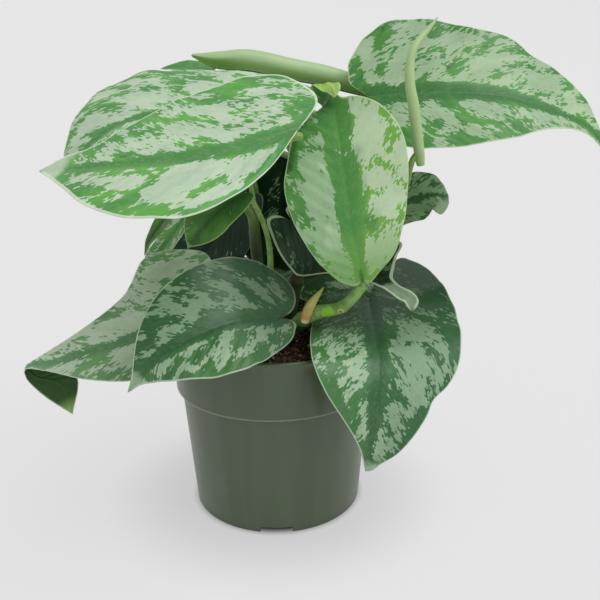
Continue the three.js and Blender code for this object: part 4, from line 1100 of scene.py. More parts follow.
def stem_patches(stem_name):
    """A trunk, thicker at its joints, and the petioles that leave it."""
    stem = STEMS[stem_name]
    draw = seeded(stem_name)
    joints = [(share, JOINT_SWELL, JOINT_WIDTH) for share in JOINT_SHARES]
    seed = draw.uniform(0, SEEDS)
    patches = [tube_patch(stem["trunk"], stem["radii"], *TRUNK_MESH, joints, seed=seed)]
    ends = [(route, end_under(leaf_name)) for leaf_name, route in stem["petioles"].items()]
    for roll in ROLLED_LEAVES.values():
        if roll["stem"] == stem_name:
            ends.append((roll["petiole"], end_against(roll["points"], roll["at_end"])))
    for route, end in ends:
        patches.append(petiole_patch(route, end, draw.uniform(0, SEEDS)))
    return patches


# ---- Rolled young leaves --------------------------------------------------------------------

ROLL_THICKNESS = 0.5
ROLL_ROWS = 120
ROLL_COLUMNS = 72
ROLL_TIGHTENING = 0.3
ROLL_END = 1 / 30


def rolled_patch(name):
    """A blade rolled up about its length. Across it, at the share t from its outer edge, the
    section has turned `turns` times t and its radius is 1 - 0.3 t of the outer one. Both ends
    draw in to a point, and at both edges the thickness falls off as a quarter of a circle."""
    roll = ROLLED_LEAVES[name]
    path = Path(roll["points"])
    share = np.linspace(0, 1, ROLL_ROWS + 1)
    centre, side, over = tube_frame(path, share * path.length)
    radius = spread(roll["radii"], share, rounding=0.03)
    wrap = np.linspace(0, 1, ROLL_COLUMNS)
    angle = roll["seam"] + 2 * np.pi * roll["turns"] * wrap
    spiral = radius[:, None] * (1 - ROLL_TIGHTENING * wrap)
    turned = angle[None, :, None]
    across = side[:, None] * np.cos(turned) + over[:, None] * np.sin(turned)
    middle = centre[:, None] + across * spiral[..., None]
    middle[0] = centre[0]
    middle[-1] = centre[-1]
    normals = sheet_normals(middle)
    rim = np.sqrt(1 - (1 - np.clip(np.minimum(wrap, 1 - wrap) / ROLL_END, 0, 1)) ** 2)
    ends = np.clip(np.minimum(share, 1 - share) / ROLL_END, 0, 1)
    thick = (ROLL_THICKNESS / 2 * rim * ends[:, None])[..., None]
    halfway = ROLL_ROWS // 2, ROLL_COLUMNS // 2
    outward = np.sign(np.sum(normals[halfway] * across[halfway]))
    length = (share * path.length / CM)[:, None]
    place = np.stack(np.broadcast_arrays(length, angle, roll["seam"]), -1)
    blade = np.stack(np.broadcast_arrays(share[:, None], wrap, outward), -1)
    return closed_sheet(middle + normals * thick, middle - normals * thick, place, blade)


# ---- Pot and soil ---------------------------------------------------------------------------


def arc(centre, radius, start, stop, count=6):
    """Points of a round corner in the (radius, height) plane, angles in degrees."""
    angle = np.radians(np.linspace(start, stop, count))
    return [(centre[0] + radius * np.cos(a), centre[1] + radius * np.sin(a)) for a in angle]


def turned_patch(profile, sides):
    """A profile of (radius, height) pairs that starts and ends on the axis, turned about Z; it
    runs out along the underside, up the outside and back in."""
    profile = np.asarray(profile, float)
    shell = rings(profile[1:-1, :1], profile[1:-1, 1:], round_angles(sides))
    poles = [(0, 0, profile[0, 1]), (0, 0, profile[-1, 1])]
    return Patch(np.vstack([shell.reshape(-1, 3), poles]), wrapped(len(shell), sides))


def pot_profile():
    """Outside from the foot to the lip, inside back down to the floor. Every corner that a hand
    would feel is a small round."""
    band_wall = POT_RIM_RADIUS - 0.4
    lip_bottom = POT_HEIGHT - 1.6
    inside_base = POT_BASE_RADIUS - POT_WALL
    return [
        (0, 0.6), (POT_BASE_RADIUS - 6, 0.6), (POT_BASE_RADIUS - 4, 0),
        *arc((POT_BASE_RADIUS - 0.9, 0.9), 0.9, -90, 0),
        *POT_TAPER,
        (POT_NECK_RADIUS - 0.1, POT_BAND_BOTTOM - 1), (POT_NECK_RADIUS, POT_BAND_BOTTOM - 0.2),
        (POT_NECK_RADIUS + 0.3, POT_BAND_BOTTOM),
        *arc((POT_BAND_RADIUS - 0.6, POT_BAND_BOTTOM + 0.6), 0.6, -90, 0),
        (POT_BAND_RADIUS + 0.3, POT_BAND_BOTTOM + 12), (band_wall - 0.1, lip_bottom - 3),
        (band_wall, lip_bottom - 0.2),
        *arc((POT_RIM_RADIUS - 0.35, lip_bottom + 0.4), 0.35, -60, 0, 4),
        *arc((POT_RIM_RADIUS - 0.6, POT_HEIGHT - 0.6), 0.6, 0, 90),
        *arc((band_wall - POT_WALL + 0.5, POT_HEIGHT - 0.5), 0.5, 90, 180),
        (POT_BAND_RADIUS - POT_WALL, POT_BAND_BOTTOM + 1.2),
        (POT_NECK_RADIUS - POT_WALL, POT_BAND_BOTTOM - 1.2),
        (inside_base, POT_FLOOR + 0.8), (inside_base - 0.8, POT_FLOOR), (0, POT_FLOOR),
    ]


def drain_cutter():
    """One closed box for each notch in the foot, as a single mesh object. A box reaches
    DRAIN_DEPTH into the foot and DRAIN_BEYOND out of it."""
    half = np.array([DRAIN_WIDTH / 2, (DRAIN_DEPTH + DRAIN_BEYOND) / 2, DRAIN_HEIGHT])
    corners = np.array([(x, y, z) for z in (-1, 1) for y in (-1, 1) for x in (-1, 1)]) * half
    corners[:, 1] -= POT_BASE_RADIUS - DRAIN_DEPTH / 2 + DRAIN_BEYOND / 2
    faces = [(0, 2, 3, 1), (4, 5, 7, 6), (0, 1, 5, 4), (2, 6, 7, 3), (0, 4, 6, 2), (1, 3, 7, 5)]
    turns = [Matrix.Rotation(angle, 3, "Z") for angle in round_angles(DRAIN_COUNT)]
    boxes = [Patch(corners @ np.array(turn).T, faces) for turn in turns]
    return put("drain_cutter", joined_mesh("drain_cutter", boxes))


def make_pot(material):
    """The turned shell with its notches cut out of the foot for good."""
    shell = turned_patch(pot_profile(), POT_SIDES)
    pot = make_piece("pot_shell", [shell], [material], "pot")
    cutter = drain_cutter()
    cut = pot.modifiers.new("drain_notches", "BOOLEAN")
    cut.operation = "DIFFERENCE"
    cut.solver = "EXACT"
    cut.object = cutter
    bpy.context.view_layer.update()
    seen = pot.evaluated_get(bpy.context.evaluated_depsgraph_get())
    finished = bpy.data.meshes.new_from_object(seen)
    pot.modifiers.clear()
    pot.data = finished
    pot.data.set_sharp_from_angle(angle=math.radians(POT_CORNER))
    bpy.data.objects.remove(cutter)


def soil_height(radius, angle):
    """The humps in mm above the mean level: two crossed waves and a finer one at half the height,
    all fading out at the middle."""
    coarse = np.sin(radius / 5.3 + 2 * angle) * np.cos(3 * angle - radius / 7.1)
    fine = 0.5 * np.sin(5 * angle + radius / 2.7)
    return SOIL_RELIEF * (coarse + fine) * np.clip(radius / 6, 0, 1)


def crumb_relief(x, y):
    """Small crumbs in mm: the sum of many short waves in random directions."""
    draw = seeded("crumbs")
    total = np.zeros_like(x)
    for _ in range(CRUMB_WAVES):
        turn = draw.uniform(0, 2 * np.pi)
        wave = draw.uniform(*CRUMB_WAVE_RANGE)
        across = x * np.cos(turn) + y * np.sin(turn)
        total += np.sin(across * 2 * np.pi / wave + draw.uniform(0, 6.28))
    return CRUMB_RELIEF * total


def soil_patch():
    """The filled inside of the pot: up the wall, then in over a bumpy top."""
    angle = round_angles(SOIL_SIDES)
    wall = np.array(SOIL_WALL)
    top = SOIL_RADIUS * np.linspace(1, SOIL_INNERMOST, SOIL_RINGS)
    radius = np.concatenate([wall[:, 0], top])[:, None] * np.ones_like(angle)
    level = np.concatenate([wall[:, 1], np.full(SOIL_RINGS, SOIL_LEVEL)])[:, None]
    x, y = radius * np.cos(angle), radius * np.sin(angle)
    relief = soil_height(radius, angle) + crumb_relief(x, y)
    relief[:len(wall)] = 0
    shell = rings(radius, level + relief, angle).reshape(-1, 3)
    poles = [(0, 0, SOIL_WALL[0][1]), (0, 0, SOIL_LEVEL)]
    return Patch(np.vstack([shell, poles]), wrapped(*radius.shape))


def lump():
    """A ball of 18 points and 32 faces: an octahedron with each face split in four."""
    corners = np.array([(1, 0, 0), (0, 1, 0), (-1, 0, 0), (0, -1, 0), (0, 0, 1), (0, 0, -1)], float)
    faces = [(0, 1, 4), (1, 2, 4), (2, 3, 4), (3, 0, 4), (1, 0, 5), (2, 1, 5), (3, 2, 5), (0, 3, 5)]
    points, middle, split = list(corners), {}, []
    for face in faces:
        mids = []
        for a, b in zip(face, face[1:] + face[:1]):
            edge = (min(a, b), max(a, b))
            if edge not in middle:
                middle[edge] = len(points)
                points.append(unit(corners[a] + corners[b]))
            mids.append(middle[edge])
        a, b, c = face
        ab, bc, ca = mids
        split += [(a, ab, ca), (b, bc, ab), (c, ca, bc), (ab, bc, ca)]
    return np.array(points), np.array(split)


def scattered_lumps(name, count, sizes, stretch, finish):
    """Rough lumps strewn over the soil's top: each is the ball with its points pushed in or out
    at random, stretched, turned by a random quaternion and sunk a little. Points beyond the soil's
    edge are drawn back to it."""
    draw = seeded(name)
    ball, faces = lump()
    radius = SOIL_RADIUS * LUMPS_OUT_TO * np.sqrt(draw.uniform(0, 1, count))
    angle = draw.uniform(0, 2 * np.pi, count)
    size = draw.uniform(*sizes, count) * draw.uniform(0.6, 1, count)
    rough = ball[None] * draw.uniform(*LUMP_ROUGHNESS, (count, len(ball), 1))
    drawn_out = [draw.uniform(1, stretch, count), np.ones(count), draw.uniform(*LUMP_SQUASH, count)]
    rough = rough * np.stack(drawn_out, -1)[:, None]
    w, x, y, z = unit(draw.normal(size=(count, 4))).T
    spin = np.stack([
        1 - 2 * (y * y + z * z), 2 * (x * y - z * w), 2 * (x * z + y * w),
        2 * (x * y + z * w), 1 - 2 * (x * x + z * z), 2 * (y * z - x * w),
        2 * (x * z - y * w), 2 * (y * z + x * w), 1 - 2 * (x * x + y * y),
    ], -1).reshape(count, 3, 3)
    rough = np.einsum("nij,nkj->nki", spin, rough) * size[:, None, None]
    height = SOIL_LEVEL + soil_height(radius, angle) + LUMP_LIFT * size
    points = (rough + rings(radius, height, angle)[:, None]).reshape(-1, 3)
    over = np.hypot(points[:, 0], points[:, 1]) / (SOIL_RADIUS - 0.1)
    points[:, :2] /= np.maximum(over, 1)[:, None]
    index = (faces[None] + len(ball) * np.arange(count)[:, None, None]).reshape(-1, 3)
    kind = np.repeat(draw.uniform(0, 1, count), len(ball))
    return Patch(points, index.tolist(), None, lone_mark(kind), finish)


# ---- Finishes -------------------------------------------------------------------------------


def colour(code):
    """Linear light, with full cover, from six hexadecimal digits: a part p of the code becomes
    p / 12.92 up to 0.04045 and ((p + 0.055) / 1.055)^2.4 above."""
    parts = np.array([int(code[i:i + 2], 16) for i in (0, 2, 4)]) / 255
    linear = np.where(parts <= 0.04045, parts / 12.92, ((parts + 0.055) / 1.055) ** 2.4)
    return (*linear.tolist(), 1.0)


class Finish:
    """A procedural material with short calls for the nodes between its marks and its shader.

    A value is a node's output, a number, a vector or the code of a colour."""

    def __init__(self, name, **sockets):
        self.material = bpy.data.materials.new(name)
        self.material.use_nodes = True
        self.tree = self.material.node_tree
        self.shader = self.tree.nodes["Principled BSDF"]
        for socket, value in sockets.items():
            self.feed(self.shader.inputs[socket.replace("_", " ")], value)

    def feed(self, socket, value):
        """Links a socket to a node's output, or sets it to anything else."""
        if isinstance(value, bpy.types.NodeSocket):
            self.tree.links.new(value, socket)
        else:
            socket.default_value = colour(value) if isinstance(value, str) else value

    def add(self, kind, inputs=(), output=0, **settings):
        """One output of a new node."""
        node = self.tree.nodes.new(kind)
        for setting, value in settings.items():
            setattr(node, setting, value)
        for key, value in dict(inputs).items():
            self.feed(node.inputs[key], value)
        return node.outputs[output]

    def maths(self, operation, *values):
        return self.add("ShaderNodeMath", dict(enumerate(values)), operation=operation)

    def plus(self, *values):
        total = values[0]
        for value in values[1:]:
            total = self.maths("ADD", total, value)
        return total

    def times(self, a, b):
        return self.maths("MULTIPLY", a, b)

    def sway(self, value, amount):
        """A value about a half, as an offset of up to half of `amount` either way."""
        return self.times(self.plus(value, -0.5), amount)

    def marks(self, name):
        """The three parts of a vector that the mesh carries at its points."""
        return self.parts(self.add("ShaderNodeAttribute", attribute_name=name, output=1))

    def parts(self, vector):
        return list(self.add("ShaderNodeSeparateXYZ", {0: vector}).node.outputs)

    def vector(self, x, y, z):
        return self.add("ShaderNodeCombineXYZ", {0: x, 1: y, 2: z})

    def place(self):
        """Where a point lies in the frame, in metres."""
        return self.add("ShaderNodeTexCoord", output=3)

    def away(self, point):
        """The distance in metres from a point of the frame."""
        spots = {0: self.place(), 1: point}
        return self.add("ShaderNodeVectorMath", spots, "Value", operation="DISTANCE")

    def noise(self, vector, scale, detail=2.0, roughness=0.5, distortion=0.0):
        names = ("Vector", "Scale", "Detail", "Roughness", "Distortion")
        values = (vector, scale, detail, roughness, distortion)
        return self.add("ShaderNodeTexNoise", dict(zip(names, values)))

    def stretched(self, first, second, seed, *shape):
        """Noise over two marks, each given with how often it repeats in one unit of the mark."""
        return self.noise(self.vector(self.times(*first), self.times(*second), seed), 1.0, *shape)

    def rise(self, value, low, high):
        """0 below `low`, 1 above `high`, smooth between; falls where high is under low."""
        inputs = {0: value, 1: low, 2: high, 3: 0.0, 4: 1.0}
        if low > high:
            inputs = {0: value, 1: high, 2: low, 3: 1.0, 4: 0.0}
        return self.add("ShaderNodeMapRange", inputs, interpolation_type="SMOOTHSTEP")

    def mix(self, share, first, second):
        inputs = {0: share, 6: first, 7: second}
        return self.add("ShaderNodeMix", inputs, output=2, data_type="RGBA")

    def coat(self, tone, over, share, most):
        """A tone with another laid over it by `share`, up to `most`."""
        return self.mix(self.times(share, most), tone, over)

    def bump(self, height, strength, distance):
        inputs = {"Height": height, "Strength": strength, "Distance": distance}
        self.feed(self.shader.inputs["Normal"], self.add("ShaderNodeBump", inputs))

    def paint(self, tone, roughness=None):
        """The finished material, of one tone and, if it changes, roughness."""
        self.feed(self.shader.inputs["Base Color"], tone)
        if roughness is not None:
            self.feed(self.shader.inputs["Roughness"], roughness)
        return self.material


# CHIPS is how many chips there are to a centimetre along the rib and across it, and BLOTCHES how
# many patches there would be if they had size 1. The next six say how much each cause moves the
# height that decides between silver and green, and BORDER is half the width of that change.

CHIPS = (11.0, 9.0)
BLOTCHES = (8, 5.5)
CHIP_FRAY = 0.08
TEETH = 0.42
SPECK = 0.055
STREAK_LEAN = 0.13
BAND_LEAN = -0.3
COVER_LEAN = -0.3
BORDER = 0.012
# DUSK is the dark green of the painted shade laid over the base of a leaf.
DUSK = "22382A"
UNDER_TIP = "8FB45C"

SHEEN = {"shaded": 0.05, "inner": 0.1, "hanging": 0.2, "right": 0.25, "folded": 0.25}

LOOKS = {
    "young": dict(
        green="4B8C44", deep="447D40", deepest="2E602C", fresh="62A64A", silver="B2C6AC",
        shine="BECFB6", edge="D4E2C8", under="7FA84E", under_pale="A0C078",
    ),
    "right": dict(
        green="3E7C38", deep="356C36", deepest="24542A", fresh="529440", silver="9BB592",
        shine="ABC39F", edge="C4D6B6", under="7FA84E", under_pale="A0C078",
    ),
    "centre": dict(
        green="4A883C", deep="4A8A40", deepest="24481E", fresh="74AE48", silver="97B68E",
        shine="C0D6B2", edge="BED49E", under="7FA83C", under_pale="9CBE58",
    ),
    "old": dict(
        green="34653A", deep="305A36", deepest="1E4224", fresh="447640", silver="8AA888",
        shine="A0BA9A", edge="BACEB2", under="5F8A4A", under_pale="86A870",
    ),
    "folded": dict(
        green="6C9C6C", deep="5E8E62", deepest="34603C", fresh="7CAC70", silver="C4D8BE",
        shine="D0E0CA", edge="CCDAC4", under="2C4E1E", under_pale="2F5220",
    ),
    "hanging": dict(
        green="35602E", deep="28482A", deepest="203C20", fresh="5A8A40", silver="6C9058",
        shine="86A860", edge="8FAF72", under="4C7636", under_pale="6A9048",
    ),
    # The inner and shaded looks are near-black greens: painted shade for leaves deep inside the
    # plant.
    "inner": dict(
        green="1C3420", deep="16281A", deepest="12221A", fresh="24402A", silver="4A6450",
        shine="839A80", edge="B0C0A2", under="2C4A28", under_pale="3C5C34",
    ),
}
LOOKS["shaded"] = dict(LOOKS["inner"], silver="3A5440", shine="8FA78A", edge="6A8468")


def leaf_upper(name, leaf):
    """Green with silver blotches. The blade is divided into small chips, longer along the side
    veins. Each chip reads a fractal noise at its own middle and adds the lean of the streaks; it
    is silver above a level set by `cover`. The sum is pushed down over the plain band by the
    midrib and, by `hem`, along the margin. A number drawn for each chip frays the borders and
    turns a few chips over, and a finer noise gives the borders teeth. A broad noise makes the
    tones fresher in places, and painted light makes one half lighter than the other. Where green
    streaks overlap the green is deepest, which paints shade on the centre and low right leaves.
    Over the silver and green lie the pale tip, the pale line on the margin, the fresh tone of the
    base and painted shade that darkens the base."""
    look = LOOKS[leaf["look"]]
    f = Finish(name, Specular_IOR_Level=SHEEN.get(leaf["look"], 0.35))
    vein, across, lean = f.marks("place")
    along, clear, edge = f.marks("blade")
    seed, tip_from, rim_to = leaf["seed"], leaf["pale_tip"], leaf["rim"]
    spot = f.vector(f.times(vein, CHIPS[0]), f.times(across, CHIPS[1]), 0)
    inputs = {"Vector": spot, "Scale": 1.0}
    chip = f.add("ShaderNodeTexVoronoi", inputs, "Position", voronoi_dimensions="2D")
    drawn = f.parts(chip.node.outputs["Color"])[0]
    chip_vein, chip_across, _ = f.parts(chip)
    often = [blotches / leaf["blotch"] / chips for blotches, chips in zip(BLOTCHES, CHIPS)]
    middle = f.vector(f.times(chip_vein, often[0]), f.times(chip_across, often[1]), seed)
    blotch = f.noise(middle, 1.0, 5.0, 0.62, 0.2)
    teeth = f.noise(middle, 5.0, 2.0, 0.6)
    fine = f.stretched((vein, 30.0), (across, 30.0), seed)
    broad = f.stretched((vein, 0.5), (across, 0.7), seed)
    # Broad random tone, plus painted light: `bright` makes one half lighter than the other.
    light = f.plus(broad, f.times(across, 0.12 * leaf["bright"]))
    height = f.plus(
        blotch,
        f.sway(drawn, CHIP_FRAY),
        f.sway(teeth, TEETH),
        f.times(lean, STREAK_LEAN),
        f.times(f.rise(drawn, 0.88, 0.95), SPECK),
        f.times(f.rise(drawn, 0.12, 0.05), -SPECK),
        f.times(f.rise(clear, 0.3, -0.1), BAND_LEAN),
        f.times(f.rise(edge, 0.9, 0.0), -leaf["hem"]),
    )
    level = 0.5 + COVER_LEAN * (leaf["cover"] - 0.5)
    silver = f.rise(height, level - BORDER, level + BORDER)
    green = f.mix(f.rise(light, 0.36, 0.66), look["green"], look["fresh"])
    green = f.coat(green, look["deep"], f.rise(clear, 0.25, -0.1), 0.75)
    # The deepest green where green streaks overlap; on the centre and low right leaves this is
    # painted shade.
    green = f.coat(green, look["deepest"], f.rise(lean, -1.2, -1.9), 0.75)
    green = f.coat(green, look["silver"], f.rise(drawn, 0.5, 1.0), 0.12)
    pale = f.mix(f.rise(light, 0.38, 0.66), look["silver"], look["shine"])
    pale = f.coat(pale, green, f.rise(drawn, 0.45, 0.0), 0.16)
    pale = f.coat(pale, green, f.rise(fine, 0.55, 0.8), 0.2)
    tone = f.coat(green, pale, silver, 0.96)
    tip = f.rise(f.plus(along, f.sway(blotch, 0.1)), tip_from, tip_from + 0.05)
    tone = f.coat(tone, look["shine"], tip, 0.8)
    rim = f.rise(f.plus(edge, f.times(fine, 0.02)), rim_to + 0.015, rim_to - 0.015)
    off_midrib = f.rise(f.maths("ABSOLUTE", across), 0.06, 0.2)
    tone = f.coat(tone, look["edge"], f.times(rim, off_midrib), 0.8)
    tone = f.coat(tone, look["fresh"], f.rise(along, 0.24, 0.0), leaf["lime"])
    # Painted shade: `dusk` darkens the base with the shade colour.
    tone = f.coat(tone, DUSK, f.rise(along, 0.6, 0.05), leaf["dusk"])
    f.bump(f.plus(f.times(fine, 0.3), f.times(drawn, 0.15)), 0.2, 0.0003)
    return f.paint(tone, f.plus(0.36, f.times(silver, 0.14)))


def leaf_under(name, leaf):
    """Plain green, paler along the side veins, toward the midrib and at the tip, with the pale
    line of the margin and without silver."""
    look = LOOKS[leaf["look"]]
    f = Finish(name, Roughness=0.55, Specular_IOR_Level=SHEEN.get(leaf["look"], 0.3))
    vein, across, _ = f.marks("place")
    along, _, edge = f.marks("blade")
    lines = f.maths("SINE", f.times(vein, math.pi * CM / SIDE_VEIN_SPACING))
    lines = f.maths("ABSOLUTE", lines)
    mottle = f.stretched((vein, 2.0), (across, 1.2), leaf["seed"], 4.0, 0.6)
    tone = f.mix(f.rise(mottle, 0.35, 0.7), look["under"], look["under_pale"])
    tone = f.coat(tone, look["under_pale"], f.rise(lines, 0.16, 0.03), 0.35)
    tone = f.mix(f.rise(f.maths("ABSOLUTE", across), 0.16, 0.05), tone, look["under_pale"])
    tone = f.coat(tone, UNDER_TIP, f.rise(along, 0.93, 0.985), 0.9)
    tone = f.coat(tone, look["edge"], f.rise(edge, 0.07, 0.04), 0.5)
    f.bump(f.plus(f.times(mottle, 0.5), f.times(lines, 0.3)), 0.2, 0.0004)
    return f.paint(tone)


VINE_LIME = (0.0260, -0.0362, 0.1131)
VINE_SCAR = (0.0319, -0.0382, 0.1151)


def stem_finish():
    """Mid green with lighter stretches and fine lengthwise lines; dark and brown low down and at
    the back, partly the brown of old stems and partly painted shade inside the plant. The front
    vine has a lime spot and, at its joint, a scar with a brown middle."""
    f = Finish("stem_skin", Roughness=0.45, Specular_IOR_Level=0.3)
    length, around, seed = f.marks("place")
    _, y, z = f.parts(f.place())
    stretch = f.stretched((length, 1.1), (around, 0.3), seed, 3.0)
    lines = f.stretched((length, 3.0), (around, 5.0), seed, 3.0, 0.6)
    lighter = f.rise(stretch, 0.35, 0.65)
    tone = f.mix(lighter, "6A9248", "90B266")
    tone = f.coat(tone, "A3C877", f.rise(lines, 0.55, 0.72), 0.5)
    tone = f.coat(tone, "456B30", f.rise(lines, 0.42, 0.3), 0.4)
    # Partly the brown of age, partly painted shade: low down and at the back, inside the plant, the
    # stems turn dark.
    old = f.times(f.rise(y, -0.020, -0.008), f.rise(z, 0.172, 0.135))
    old = f.maths("MAXIMUM", old, f.rise(z, 0.109, 0.100))
    tone = f.coat(tone, f.mix(lighter, "2A3A1E", "3A3220"), old, 0.88)
    lime = f.plus(f.away(VINE_LIME), f.sway(stretch, 0.002))
    tone = f.coat(tone, "8CC83C", f.rise(lime, 0.0036, 0.0028), 0.85)
    scar = f.away(VINE_SCAR)
    tone = f.mix(f.rise(scar, 0.0019, 0.0014), tone, "D2BC8A")
    tone = f.mix(f.rise(scar, 0.0013, 0.0008), tone, "3A2412")
    f.bump(lines, 0.3, 0.0003)
    return f.paint(tone)


def rolled_finish(name, pale, green, inside, mouth):
    """A young blade still rolled: satin, with painted light that makes it palest where it faces up
    and greener where it faces down, and faint broad stretches; `inside` colours its free edge and,
    up to the share `mouth`, its underside."""
    f = Finish(name, Roughness=0.42, Specular_IOR_Level=0.35, Sheen_Weight=0.1)
    length, around, seed = f.marks("place")
    along, wrap, _ = f.marks("blade")
    facing_up = f.parts(f.add("ShaderNodeNewGeometry", output="Normal"))[2]
    streak = f.stretched((length, 0.5), (around, 0.8), seed, 3.0, 0.5)
    tone = f.mix(f.rise(streak, 0.35, 0.65), pale, f.mix(0.25, pale, green))
    # Painted light and shade: palest where the tube faces up, green where it faces down.
    tone = f.mix(f.rise(f.plus(facing_up, f.sway(streak, 0.6)), 0.35, -0.5), tone, green)
    tone = f.coat(tone, inside, f.rise(along, mouth, 0.4 * mouth), f.rise(facing_up, 0.5, -0.1))
    tone = f.coat(tone, inside, f.rise(wrap, 0.05, 0.0), 0.8)
    f.bump(streak, 0.1, 0.0003)
    return f.paint(tone)


def sheath_finish():
    """Straw yellow, orange and then whitish at its foot, greener at its point, with long fibres."""
    f = Finish("sheath_skin", Roughness=0.55, Specular_IOR_Level=0.3)
    length, around, seed = f.marks("place")
    along, _, _ = f.marks("blade")
    fibre = f.stretched((length, 2.0), (around, 6.0), seed, 3.0, 0.6)
    tone = f.mix(f.rise(fibre, 0.35, 0.65), "AFA25A", "C8C480")
    tone = f.mix(f.rise(along, 0.42, 0.1), tone, "D09C4C")
    tone = f.mix(f.rise(along, 0.16, 0.04), tone, "EAD9B4")
    tone = f.coat(tone, "8FA348", f.rise(along, 0.5, 0.95), 0.7)
    f.bump(fibre, 0.3, 0.0003)
    return f.paint(tone)


BAND_EDGE = POT_BAND_BOTTOM * MM


def pot_finish():
    """Grey-green moulded plastic: a fine even grain, faint upright flow marks, a few scuffs,
    painted shade darkening the foot, and a painted highlight as a paler line along the lower edge
    of the band."""
    f = Finish("pot_plastic", Specular_IOR_Level=0.6)
    place = f.place()
    grain = f.noise(place, 2600.0, 2.0)
    x, y, z = f.parts(place)
    flow = f.stretched((x, 90.0), (y, 90.0), f.times(z, 6.0), 3.0)
    scuff = f.noise(place, 45.0, 5.0, 0.65)
    tone = f.mix(f.rise(flow, 0.35, 0.65), "435239", "49583E")
    tone = f.coat(tone, "5C6D56", f.rise(scuff, 0.6, 0.75), 0.2)
    # Painted shade: darker toward the foot.
    tone = f.coat(tone, "3C4A37", f.rise(z, 0.012, 0.0), 0.3)
    # Painted highlight: a thin paler line just above the lower edge of the band.
    above_edge = f.rise(z, BAND_EDGE - 0.0003, BAND_EDGE)
    edge_highlight = f.times(above_edge, f.rise(z, BAND_EDGE + 0.0013, BAND_EDGE + 0.0006))
    tone = f.coat(tone, "93A389", edge_highlight, 0.4)
    f.bump(f.plus(f.times(grain, 0.5), f.times(flow, 0.2)), 0.12, 0.0002)
    return f.paint(tone, f.plus(0.28, f.times(scuff, 0.12)))


def soil_finish():
    """Dark peat with brown crumbs and fine pale flecks."""
    f = Finish("peat", Roughness=0.9, Specular_IOR_Level=0.25)
    place = f.place()
    kind, _, _ = f.marks("blade")
    grain = f.noise(place, 900.0, 4.0, 0.65)
    tone = f.mix(f.rise(grain, 0.35, 0.7), "1C130E", "4A3429")
    tone = f.coat(tone, "5A3A2A", f.rise(f.noise(place, 160.0, 3.0), 0.5, 0.7), 0.5)
    tone = f.coat(tone, "9A7862", f.rise(kind, 0.6, 1.0), 0.8)
    tone = f.coat(tone, "A88C78", f.rise(f.noise(place, 1300.0, 2.0, 0.6), 0.58, 0.66), 0.8)
    f.bump(grain, 0.6, 0.0006)
    return f.paint(tone)


def perlite_finish():
    """Dusty white foamed grains."""
    f = Finish("perlite", Roughness=0.85, Specular_IOR_Level=0.3)
    grain = f.noise(f.place(), 1500.0, 3.0, 0.6)
    f.bump(grain, 0.5, 0.0005)
    return f.paint(f.mix(f.rise(grain, 0.4, 0.65), "B8B0A2", "E4E0D6"))


# ---- Making the plant -----------------------------------------------------------------------


def make_leaves():
    for name in LEAVES:
        leaf = complete_leaf(name)
        plain = name.replace("leaf_", "")
        materials = [leaf_upper(f"upper_{plain}", leaf), leaf_under(f"under_{plain}", leaf)]
        make_piece(f"blade_{plain}", [blade_patch(leaf)], materials, name)


def make_stems():
    skin = stem_finish()
    for name in STEMS:
        make_piece(name.replace("stem", "vine"), stem_patches(name), [skin], name)


def make_rolled():
    """Both sides of a rolled leaf have the same skin."""
    for name, roll in ROLLED_LEAVES.items():
        skin = rolled_finish(f"{name}_skin", *roll["tones"], roll["mouth"])
        furled = name.replace("leaf_", "furled_")
        make_piece(furled, [rolled_patch(name)], [skin, skin], name)


def make_sheaths():
    skin = sheath_finish()
    for name, sheath in SHEATHS.items():
        patch = tube_patch(sheath["points"], sheath["radii"], *SHEATH_MESH, flat=SHEATH_FLATNESS)
        make_piece(f"{name}_scale", [patch], [skin], name)


def make_soil():
    peat, perlite = soil_finish(), perlite_finish()
    patches = [
        soil_patch(),
        scattered_lumps("crumbs", *CRUMBS, finish=0),
        scattered_lumps("perlite", *PERLITE, finish=1),
    ]
    make_piece("peat_soil", patches, [peat, perlite], "soil")


# ---- Floor, light ---------------------------------------------------------------------------
# Lengths of the floor are in metres. Its glow begins round the pot's foot and is full farther out;
# the dimmer ring round the foot paints the pot's contact shadow.

FLOOR_FLAT = 1.3
FLOOR_BEND = 1.2
FLOOR_SLOPE = 80
FLOOR_RINGS = 20
FLOOR_SIDES = 96
FLOOR_GLOW = 0.66
FLOOR_DIM = 0.12
GLOW_BEGINS = (0.038, 0.047)
GLOW_FULL = (0.045, 0.1)
WHITE = (1, 1, 1, 1)
SURROUND_STRENGTH = 0.5
SUN_STRENGTH = 1.9
SUN_SPREAD = 50
SUN_FROM = (0.5, -0.22, 1.0)


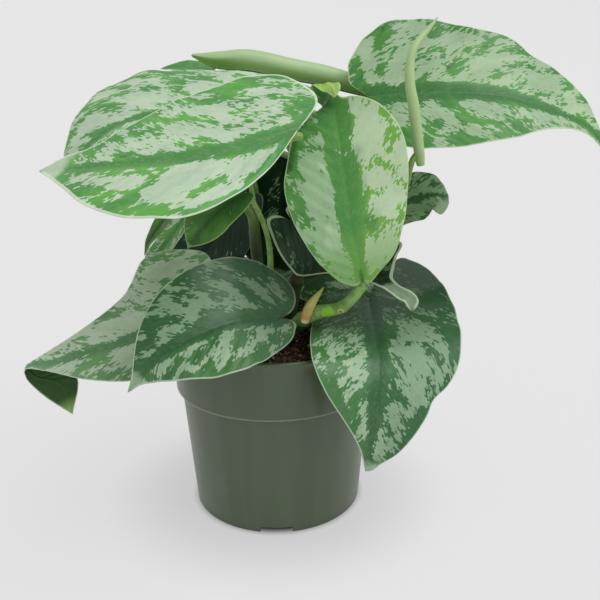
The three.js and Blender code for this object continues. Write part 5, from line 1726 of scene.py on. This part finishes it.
def make_floor():
    """A flat disc that bends up evenly all round into a low wall, in metres. The paper glows a
    little of itself, as over a light table, so that shadows on it stay light; the glow is dimmer
    round the pot's foot and gone beneath it: a painted contact shadow."""
    bend = np.radians(np.linspace(0, FLOOR_SLOPE, 24))[1:]
    flat = np.linspace(0.02, FLOOR_FLAT, FLOOR_RINGS)
    radius = np.concatenate([flat, FLOOR_FLAT + FLOOR_BEND * np.sin(bend)])
    height = np.concatenate([0 * flat, FLOOR_BEND * (1 - np.cos(bend))])
    points = rings(radius[:, None], height[:, None], round_angles(FLOOR_SIDES))
    index = looped(len(radius), FLOOR_SIDES)
    faces = [*strips(index, turned=True).tolist(), index[0, :-1].tolist()]
    mesh = bpy.data.meshes.new("studio_floor")
    mesh.from_pydata(points.reshape(-1, 3).tolist(), [], faces)
    mesh.shade_smooth()
    f = Finish("floor_paper", Roughness=0.9, Specular_IOR_Level=0.0, Emission_Color=WHITE)
    x, y, _ = f.parts(f.place())
    away = f.maths("SQRT", f.plus(f.times(x, x), f.times(y, y)))
    # Painted contact shadow: the glow dims round the pot's foot and is gone beneath it.
    glow = f.plus(FLOOR_GLOW - FLOOR_DIM, f.times(f.rise(away, *GLOW_FULL), FLOOR_DIM))
    f.feed(f.shader.inputs["Emission Strength"], f.times(glow, f.rise(away, *GLOW_BEGINS)))
    mesh.materials.append(f.paint(f.mix(f.noise(f.place(), 300.0, 2.0), "606060", "646464")))
    put("studio_floor", mesh)


def make_light():
    """An even white surround and one broad sun from the upper right and front."""
    world = bpy.data.worlds.new("studio")
    world.use_nodes = True
    background = world.node_tree.nodes["Background"]
    background.inputs["Color"].default_value = WHITE
    background.inputs["Strength"].default_value = SURROUND_STRENGTH
    bpy.context.scene.world = world
    data = bpy.data.lights.new("sun", "SUN")
    data.energy = SUN_STRENGTH
    data.angle = math.radians(SUN_SPREAD)
    put("sun", data).rotation_euler = Vector(SUN_FROM).to_track_quat("Z", "Y").to_euler()
    bpy.context.scene.view_settings.view_transform = "Standard"


make_pot(pot_finish())
make_soil()
make_stems()
make_sheaths()
make_leaves()
make_rolled()
make_floor()
make_light()
